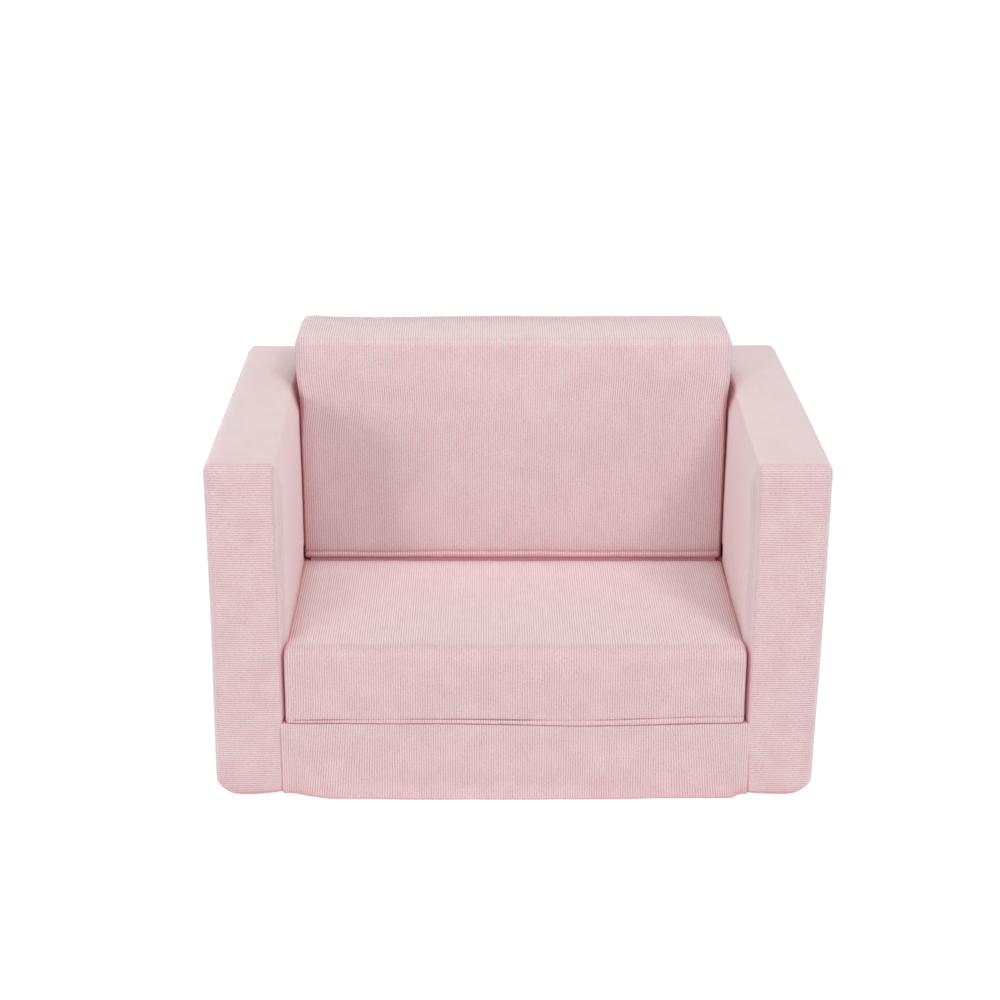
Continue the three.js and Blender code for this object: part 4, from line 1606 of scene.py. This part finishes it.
def slab_mesh(name: str, outline: Array, z_low: float, z_high: float) -> Mesh:
    """A flat slab with the given outline.

    Args:
        name: The mesh's name.
        outline: Points in x and y, going round anticlockwise.
        z_low: Its underside.
        z_high: Its upper side.

    Returns:
        The mesh, with metres as pattern coordinates.
    """
    count = len(outline)
    points = [(x, y, z) for z in (z_low, z_high) for x, y in outline]
    rim = [(i, (i + 1) % count, count + (i + 1) % count, count + i) for i in range(count)]
    mesh = bpy.data.meshes.new(name)
    mesh.from_pydata(points, [], [tuple(range(count))[::-1], tuple(range(count, 2 * count)), *rim])
    layer = mesh.uv_layers.new(name="UVMap")
    corners = np.array([points[loop.vertex_index][:2] for loop in mesh.loops], np.float32)
    layer.data.foreach_set("uv", corners.ravel())
    return mesh


@dataclass(frozen=True)
class HingeWeb:
    """A strip of doubled fabric sewn into two covers, built in the folded shape it takes on a hinge's
    axis.

    UPRIGHT and TURNED give the folded strip's middle line from the axis, in millimetres.
    """

    UPRIGHT: ClassVar = ((2.6, -8), (2.4, -2), (1.7, 0), (2.4, 2), (2.6, 8))
    TURNED: ClassVar = ((-7, -4), (-3, -2.2), (0.4, -0.4), (2.6, 2.8), (3.6, 7))

    name: str
    bodies: tuple[str, str]
    leaves: tuple[str, str]
    joint: str
    thickness: float = 0.8 * MM
    steps: int = 96
    end_inset: float = 4 * MM

    def path(self) -> Array:
        """Points of the strip's middle line, in y and z, from the first leaf to the second."""
        _, y, z = hinge_axis(self.joint)
        offsets = self.UPRIGHT if self.bodies[0] == "frame" else self.TURNED
        places = np.array([(y + dy * MM, z + dz * MM) for dy, dz in offsets])
        count = 6 * (len(places) - 1)
        return hermite_weights(np.arange(len(places), dtype=float),
                               np.linspace(0, len(places) - 1, count + 1)) @ places

    def build(self, finishes: Finishes) -> Object:
        line = self.path()
        along = np.gradient(line, axis=0)
        along /= np.linalg.norm(along, axis=1)[:, None]
        out = np.stack([-along[:, 1], along[:, 0]], axis=1) * self.thickness / 2
        section = np.concatenate([line + out, (line - out)[::-1]])
        low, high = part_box(self.leaves[0])
        mesh = strip_mesh(self.name, section, low.x + self.end_inset, high.x - self.end_inset,
                          self.steps)
        piece = show(self.name, mesh, finishes.get("web"))
        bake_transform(piece)
        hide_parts(*self.leaves)
        return piece


@dataclass(frozen=True)
class Zip:
    """A zip fastener let into a cover where the frame has it: two woven tapes, a nylon coil, a
    lacquered slider and two end stops. The one under the back cushion faces down, the others back.
    """

    TAPE_SHARES: ClassVar = np.array([0.0, 0.06, 0.14, 0.2, 0.92, 1.0])
    TAPE_HEIGHTS: ClassVar = np.array([0.45, 0.95, 0.95, 0.55, 0.5, 0.4])
    TAPE_UNDERSIDE: ClassVar = 0.05
    TAPE_STEPS: ClassVar = 60

    owner: str
    lip: float = 1.0 * MM
    lip_row: float = 2 * MM
    depth: float = 2.9 * MM
    end_fade: Pair = mm(-1, 0.5)
    coil_step: float = 1.5 * MM
    stagger: float = 1.6 * MM
    tooth: tuple[float, float, float] = (0.9 * MM, 3.1 * MM, 1.7 * MM)
    bevel: float = 0.25 * MM
    merged: float = 0.01 * MM

    def is_low(self) -> bool:
        """Whether the zip faces down instead of to the rear."""
        return self.owner == "back_cushion"

    def face(self) -> Face:
        """The face of the block that the zip is on."""
        return Face.BOTTOM if self.is_low() else Face.REAR

    def axes(self) -> tuple[int, int]:
        """The axis that runs across the zip and the one that it faces along."""
        return (1, 2) if self.is_low() else (2, 1)

    def tape_boxes(self) -> list[Box]:
        """The boxes of the upper and the lower tape."""
        return [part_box(f"{self.owner}_zip_{which}_tape") for which in ("upper", "lower")]

    def opening(self) -> tuple[float, float, float, float]:
        """From where to where the opening goes across the tapes, and then along them."""
        axis, boxes = self.axes()[0], self.tape_boxes()
        return (min(b[0][axis] for b in boxes) + self.lip, max(b[1][axis] for b in boxes) - self.lip,
                min(b[0].x for b in boxes), max(b[1].x for b in boxes))

    def stations(self, outline: Outline) -> list[float]:
        """Rows on both sides of each lip of the opening."""
        start, end = self.opening()[:2]
        places = [start - self.lip_row, start, start + self.lip,
                  end - self.lip, end, end + self.lip_row]
        return [outline.station(self.face(), place) for place in places]

    def recess(self, places: Array, stations: Array, outline: Outline) -> Array:
        """How far the cover's surface sinks to make room for the zip."""
        start, end, left, right = self.opening()
        x, across = places[..., 0], places[..., self.axes()[0]]
        out, into = self.end_fade
        inside = smooth_step(across, start, start + self.lip)
        inside *= smooth_step(-across, -end, -end + self.lip)
        ends = smooth_step(x, left + out, left + into) * smooth_step(-x, out - right, into - right)
        here = outline.split(stations)[0] == self.face().value
        return -self.depth * inside * ends * here[None, :]

    def tape(self, which: str, finishes: Finishes) -> Object:
        """One tape: a thin strip with a raised edge cord."""
        node = f"{self.owner}_zip_{which}_tape"
        low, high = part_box(node)
        across, out = self.axes()
        start, end = low[across], high[across]
        if which == "lower":
            start, end = end, start
        base, top = (high[out], low[out]) if self.is_low() else (low[out], high[out])
        steps = start + (end - start) * self.TAPE_SHARES
        upper = np.stack([steps, base + (top - base) * self.TAPE_HEIGHTS], -1)
        under = np.stack([steps, base + (top - base) * self.TAPE_UNDERSIDE + 0 * steps], -1)
        ring = np.concatenate([upper, under[::-1]])
        section = ring if self.is_low() else ring[:, ::-1]
        turned = np.roll(section, -1, axis=0)
        if np.sum(section[:, 0] * turned[:, 1] - section[:, 1] * turned[:, 0]) > 0:
            section = section[::-1]
        mesh = strip_mesh(node, section, low.x, high.x, self.TAPE_STEPS)
        piece = show(f"{self.owner}_zip_tape_{which}", mesh, finishes.get("tape"), self.owner)
        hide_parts(node)
        return piece

    def middle(self) -> list[float]:
        """Where the coil runs: between the tapes, and halfway up them."""
        across, out = self.axes()
        boxes = self.tape_boxes()
        edges = sorted(corner[across] for box in boxes for corner in box)
        place = [0.0, 0.0, 0.0]
        place[across] = (edges[1] + edges[2]) / 2
        place[out] = (boxes[0][0][out] + boxes[0][1][out]) / 2
        return place

    def coil(self, tree: RepeatTree, finishes: Finishes) -> None:
        """The coil's loops, set left and right of the middle in turn."""
        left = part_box(f"{self.owner}_zip_left_stop")[1].x
        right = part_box(f"{self.owner}_zip_right_stop")[0].x
        line = np.array([[left, 0.0, 0.0], [right, 0.0, 0.0]])
        name = f"{self.owner}_zip_coil"
        mesh = tree.along(line, name, self.coil_step, self.tooth, finishes.get("coil"), self.stagger)
        if not self.is_low():
            mesh.transform(Matrix.Rotation(math.pi / 2, 4, "X"))
        mesh.transform(Matrix.Translation(self.middle()))
        show(name, mesh, finishes.get("coil"), self.owner)

    def casting(self, node: str) -> Mesh:
        """A cast part as its node has it, with its edges rounded."""
        holder = add_object(f"{node}_casting", frame["nodes"][node].data.copy())
        weld = holder.modifiers.new("weld", "WELD")
        weld.merge_threshold = self.merged
        rounded = holder.modifiers.new("bevel", "BEVEL")
        rounded.width = self.bevel
        rounded.segments = 2
        rounded.limit_method = "ANGLE"
        return applied(holder)

    def build(self, tree: RepeatTree, finishes: Finishes) -> None:
        """Builds every part of the zip."""
        for which in ("upper", "lower"):
            self.tape(which, finishes)
        self.coil(tree, finishes)
        carriers = {"slider": f"{self.owner}_slider", "left_stop": self.owner, "right_stop": self.owner}
        for part, body in carriers.items():
            node = f"{self.owner}_zip_{part}"
            piece = show(f"{node}_casting", self.casting(node), finishes.get("slider"), body)
            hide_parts(node)


class Assembly:
    """A part of the sofa that has upholstered blocks."""

    def __init__(self, finishes: Finishes) -> None:
        """Keeps the finishes."""
        self.finishes = finishes

    def upholster(self, block: Block, stem: str, body: str, finish: str = "corduroy") -> None:
        """Makes a block's cover and the foam core in it.

        Args:
            block: The block.
            stem: The start of its nodes' names.
            body: The body that carries it.
            finish: The cover's finish.
        """
        cover = show(f"{stem}_corduroy", block.mesh(), self.finishes.get(finish), body)
        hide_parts(f"{stem}_cover")
        core = show(f"{stem}_core", block.core().mesh(), self.finishes.get("foam"), body)
        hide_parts(f"{stem}_foam")


class FrameAssembly(Assembly):
    """The still part of the sofa: arms, base, ledge, back wall and the grip sheet under them."""

    ARM_CORNERS = Corners(*mm(5, 10, 5, 8))
    ARM_SWELLS = Swells(*mm(1.2, 1.2, 1.2, 0, 3, 3))
    ARM_EDGES = {
        "left": Edges(mm(9, 3), mm(9, 1.3), mm(84, 116)),
        "right": Edges(mm(3, 9), mm(1.3, 9), mm(84, 116)),
    }
    ARM_WEAVE = Weave(Wales.ACROSS, side=14 * MM, gather=1.5, height=0.35 * MM)
    FOOT_RISE = 1.4 * MM
    SLABS = {
        "base": (BaseBlock, Cut(
            Corners(*mm(3, 2, 3, 7)), Swells(*mm(0.8, 0.3, 0.3, 0, 0.3, 0.3)),
            Edges(mm(1.3, 1.3)), Weave(front=7 * MM, top=24 * MM, rear=24 * MM))),
        "ledge": (Block, Cut(
            Corners(*mm(3, 6, 6, 3)), Swells(*mm(0.3, 0.3, 0.3, 0.3, 0.3, 0.3)),
            Edges(mm(2.2, 2.2)), Weave(front=16 * MM, top=16 * MM, rear=30 * MM))),
        "back_wall": (ZippedBlock, Cut(
            Corners(*mm(5, 7, 9, 7)), Swells(*mm(0.3, 1.2, 1.2, 0, 0.3, 0.3)),
            Edges(mm(4, 4)), Weave(front=20 * MM, top=9 * MM, rear=10 * MM))),
    }
    BASE_TUCK = 0.6 * MM
    SHEET_SETBACK, SHEET_CORNER, SHEET_OVERLAP = mm(4, 22, 2)
    WING_SETBACK, FRONT_CUT = mm(16, 42)
    DOT, DOT_LIFT, DOT_STEP = mm(2.4, 0.35, 11)
    DOT_WING, DOT_CORNER = mm(26, 48)
    DOT_CORNER_STEPS = 1.6

    def arm(self, side: str) -> ArmBlock:
        """One arm's cover, with its outer edges rounder than its inner ones."""
        low, high = inner_box(f"{side}_arm_cover", self.ARM_SWELLS)
        low.z += self.FOOT_RISE
        cut = Cut(self.ARM_CORNERS, self.ARM_SWELLS, self.ARM_EDGES[side], self.ARM_WEAVE)
        return ArmBlock(f"{side}_arm", low, high, cut)

    def slab(self, stem: str) -> Block:
        """The base, whose sides are tucked in between the arms, the ledge or the back wall."""
        kind, cut = self.SLABS[stem]
        low, high = inner_box(f"{stem}_cover", cut.swells)
        if stem == "base":
            low.x, high.x = low.x - self.BASE_TUCK, high.x + self.BASE_TUCK
        return kind(stem, low, high, cut)

    def sheet_outline(self, low: Vector, high: Vector) -> Array:
        """The sheet's outline: wide under the arms, longer between them, with rounded corners.

        Args:
            low: The low corner of its box.
            high: The high corner.

        Returns:
            Points in x and y, going round anticlockwise.
        """
        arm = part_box("right_arm_cover")
        inner, wing = arm[0].x + self.SHEET_OVERLAP, arm[1].y - self.WING_SETBACK
        radius, points = self.SHEET_CORNER, []
        quarter = np.linspace(0, math.pi / 2, 9)
        for turn, (sx, sy) in enumerate(((1, 1), (-1, 1), (-1, -1), (1, -1))):
            angle = quarter + turn * math.pi / 2
            end_y = high.y if sy > 0 else low.y
            arc = np.stack([sx * (high.x - radius) + radius * np.cos(angle),
                            sy * (wing - radius) + radius * np.sin(angle)], -1)
            reach = inner if sy > 0 else inner - self.FRONT_CUT
            step = np.array([[sx * reach, sy * wing], [sx * reach, end_y]])
            points += [arc, step] if sx * sy > 0 else [step[::-1], arc]
        return np.concatenate(points)

    def grip_sheet(self, tree: RepeatTree) -> None:
        """The sheet under the sofa, with rows of soft dots that keep it from sliding."""
        low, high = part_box("underside_sheet")
        low.y += self.SHEET_SETBACK
        outline, underside = self.sheet_outline(low, high), low.z + self.DOT_LIFT
        mesh = slab_mesh("grip_sheet", outline, underside, high.z)
        sheet = show("grip_sheet", mesh, self.finishes.get("sheet"), "frame")
        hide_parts("underside_sheet")
        arm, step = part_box("right_arm_cover"), self.DOT_STEP
        points = []
        for number, y in enumerate(np.arange(low.y + step, high.y - step / 2, step)):
            reach = high.x if abs(y) < arm[1].y - self.DOT_WING else arm[0].x
            is_corner = abs(y) >= arm[1].y - self.DOT_CORNER
            reach -= self.DOT_CORNER_STEPS * step if is_corner else step
            way = 1 if number % 2 else -1
            points += [[way * reach, y, underside], [-way * reach, y, underside]]
        dots = tree.along(np.array(points), "grip_dots", step, (self.DOT, self.DOT, 2 * self.DOT_LIFT),
                          self.finishes.get("dots"))
        piece = show("grip_dots", dots, self.finishes.get("dots"), "frame")

    def build(self, tree: RepeatTree) -> None:
        """Builds and dresses every piece of the frame."""
        for side in ("left", "right"):
            self.upholster(self.arm(side), f"{side}_arm", "frame")
        for stem in self.SLABS:
            self.upholster(self.slab(stem), stem, "frame")
        self.grip_sheet(tree)


class CushionAssembly(Assembly):
    """The two cushions that unfold, the webs that hinge them and the stitches beside them."""

    SEAT = Cut(Corners(*mm(2.2, 16, 2.5, 6)), Swells(*mm(0.8, 1.6, 0.3, 0.3, 1, 1)),
               Edges(mm(3.5, 3.5), mm(2, 2)))
    BACK = Cut(Corners(*mm(2.5, 9, 6, 8)), Swells(*mm(1.8, 3, 1, 0.3, 1, 1)),
               Edges(mm(9, 7), mm(3, 3), mm(150, 205)), Weave(rear=24 * MM))
    SHIFT = Vector((-0.6 * MM, 0, 0))
    MEETING_INSET = 1.1 * MM
    BACK_RISE = Vector((0, 0, 3 * MM))
    STITCH = mm(2.5, 0.75, 0.7)
    STITCH_STEP, STITCH_INSET, STITCH_DEPTH = mm(3.2, 9, 0.7)
    STITCH_POINTS = 160

    def seat(self) -> SeatBlock:
        """The seat cushion's cover."""
        low, high = inner_box("seat_cover", self.SEAT.swells)
        high.y -= self.MEETING_INSET
        return SeatBlock("seat_cushion", low + self.SHIFT, high + self.SHIFT, self.SEAT)

    def back(self) -> BackBlock:
        """The back cushion's cover."""
        low, high = inner_box("back_cushion_cover", self.BACK.swells)
        low.z += self.MEETING_INSET
        return BackBlock("back_cushion", low + self.SHIFT, high + self.SHIFT + self.BACK_RISE,
                         self.BACK)

    def stitches(self, tree: RepeatTree, block: ZippedBlock, name: str, body: str) -> None:
        """A row of stitches in the groove over the hinge, from side to side."""
        inset = self.STITCH_INSET
        x = np.linspace(block.low.x + inset, block.high.x - inset, self.STITCH_POINTS)
        z = block.stitch_height(x)
        station = np.array([block.outline.station(Face.FRONT, float(z.mean()))])
        u = x - block.low.x - block.edges[0] + block.arc(0)
        lift = block.crown_on_band(u, station)[:, 0]
        line = np.stack([x, block.low.y - lift + self.STITCH_DEPTH, z], -1)
        mesh = tree.along(line, name, self.STITCH_STEP, self.STITCH, self.finishes.get("thread"))
        show(name, mesh, self.finishes.get("thread"), body)

    def build(self, tree: RepeatTree) -> None:
        """Builds and dresses both cushions and their hinges."""
        seat, back = self.seat(), self.back()
        self.upholster(seat, "seat", "seat", "lengthwise_corduroy")
        # The back cushion wears the copy of the corduroy that is painted lighter, as painted light for
        # the shade it stands in.
        self.upholster(back, "back_cushion", "back_cushion", "upright_corduroy")
        self.stitches(tree, seat, "seat_front_stitches", "seat")
        self.stitches(tree, back, "back_cushion_stitches", "back_cushion")
        HingeWeb("front_hinge_web", ("frame", "seat"),
                 ("front_hinge_base_leaf", "front_hinge_seat_leaf"), "seat_flip").build(self.finishes)
        HingeWeb("rear_hinge_web", ("seat", "back_cushion"),
                 ("rear_hinge_seat_leaf", "rear_hinge_back_leaf"), "back_unfold").build(self.finishes)


@dataclass(frozen=True)
class Studio:
    """The white room: camera, two soft lamps in front, a wide one above, a pale floor and an even
    surround. LAMPS gives each lamp's direction from the sofa, its watts and its width."""

    LAMPS: ClassVar = {
        "lamp_right": ((0.5, -1.0, 0.9), 142, 1.5),
        "lamp_left": ((-0.55, -1.0, 0.22), 109, 1.5),
        "lamp_overhead": ((0.0, -0.45, 1.0), 205, 5.8),
    }
    TARGET: ClassVar = Vector((0, 0, 0.2))

    position: tuple[float, float, float] = (-0.032, -2.2487, 1.1065)
    yaw: float = math.radians(0.40)
    pitch: float = math.radians(20.38)
    roll: float = math.radians(0.16)
    lens: float = 73.3
    sensor: float = 36.0
    lamp_distance: float = 8.0
    surround: float = 0.5
    floor_radius: float = 14.0
    floor_sides: int = 64
    floor_glow: float = 0.92

    def camera(self) -> None:
        """Places the camera at the photograph's viewing angle."""
        data = bpy.data.cameras.new("camera")
        data.lens = self.lens
        data.sensor_width = self.sensor
        data.clip_end = 60
        ahead = Vector((math.sin(self.yaw) * math.cos(self.pitch),
                        math.cos(self.yaw) * math.cos(self.pitch), -math.sin(self.pitch)))
        level = Vector((math.cos(self.yaw), -math.sin(self.yaw), 0))
        up = level.cross(ahead)
        right = math.cos(self.roll) * level + math.sin(self.roll) * up
        above = math.cos(self.roll) * up - math.sin(self.roll) * level
        turn = Matrix((right, above, -ahead)).transposed()
        holder = add_object("camera", data)
        holder.matrix_world = Matrix.Translation(self.position) @ turn.to_4x4()
        bpy.context.scene.camera = holder

    def lamp(self, name: str) -> None:
        """Adds one of the soft lamps, which faces the sofa."""
        direction, power, size = self.LAMPS[name]
        data = bpy.data.lights.new(name, "AREA")
        data.shape = "RECTANGLE"
        data.size = data.size_y = size
        data.energy = power
        holder = add_object(name, data)
        way = Vector(direction).normalized()
        holder.location = self.TARGET + way * self.lamp_distance
        holder.rotation_euler = (-way).to_track_quat("-Z", "Y").to_euler()

    def floor(self) -> None:
        """Adds the floor: a wide disc that shows white and keeps the sofa's soft shadow."""
        mesh = bpy.data.meshes.new("studio_floor")
        angles = [math.tau * i / self.floor_sides for i in range(self.floor_sides)]
        rim = [(self.floor_radius * math.cos(a), self.floor_radius * math.sin(a), 0) for a in angles]
        mesh.from_pydata(rim, [], [list(range(len(rim)))])
        material = bpy.data.materials.new("white_studio_floor")
        material.use_nodes = True
        tree = material.node_tree
        tree.nodes.clear()
        out = add_node(tree, "OutputMaterial")
        matt = add_node(tree, "BsdfDiffuse", inputs={"Color": linear("#F8F8F8")})
        grey = add_node(tree, "BsdfDiffuse", inputs={"Color": linear("#808080")})
        glow = add_node(tree, "Emission", inputs={"Color": (1, 1, 1, 1), "Strength": self.floor_glow})
        seen = add_node(tree, "AddShader", inputs={0: grey, 1: glow})
        ray = add_node(tree, "LightPath")
        mix = add_node(tree, "MixShader", inputs={0: ray.outputs["Is Camera Ray"], 1: matt, 2: seen})
        tree.links.new(mix.outputs[0], out.inputs["Surface"])
        mesh.materials.append(material)
        floor = add_object("studio_floor", mesh)

    def surroundings(self) -> None:
        """Sets the even surround, which the camera and reflections see as white."""
        world = bpy.data.worlds.new("white_surround")
        bpy.context.scene.world = world
        world.use_nodes = True
        tree = world.node_tree
        tree.nodes.clear()
        out = add_node(tree, "OutputWorld")
        ray = add_node(tree, "LightPath")
        seen = add_node(tree, "Math", {"operation": "MAXIMUM"},
                        {0: ray.outputs["Is Camera Ray"], 1: ray.outputs["Is Glossy Ray"]})
        seen = add_node(tree, "Math", {"operation": "MAXIMUM"},
                        {0: seen, 1: ray.outputs["Is Transmission Ray"]})
        strength = add_node(tree, "MapRange", inputs={
            "Value": seen, "To Min": self.surround, "To Max": 1.0})
        white = add_node(tree, "Background", inputs={"Color": (1, 1, 1, 1), "Strength": strength})
        tree.links.new(white.outputs[0], out.inputs["Surface"])

    def build(self) -> None:
        """Sets up the whole studio."""
        self.camera()
        for name in self.LAMPS:
            self.lamp(name)
        self.floor()
        self.surroundings()
        bpy.context.scene.view_settings.view_transform = "Standard"


def main() -> None:
    """Builds the studio, the frame, the cushions and the zips, in that order."""
    logging.basicConfig(level=logging.INFO, format="%(name)s %(message)s")
    Studio().build()
    finishes = Finishes()
    tree = RepeatTree("beads_along_a_line")
    FrameAssembly(finishes).build(tree)
    CushionAssembly(finishes).build(tree)
    for owner in ("frame", "seat", "back_cushion"):
        Zip(owner).build(tree, finishes)


if __name__ == "__main__":
    main()
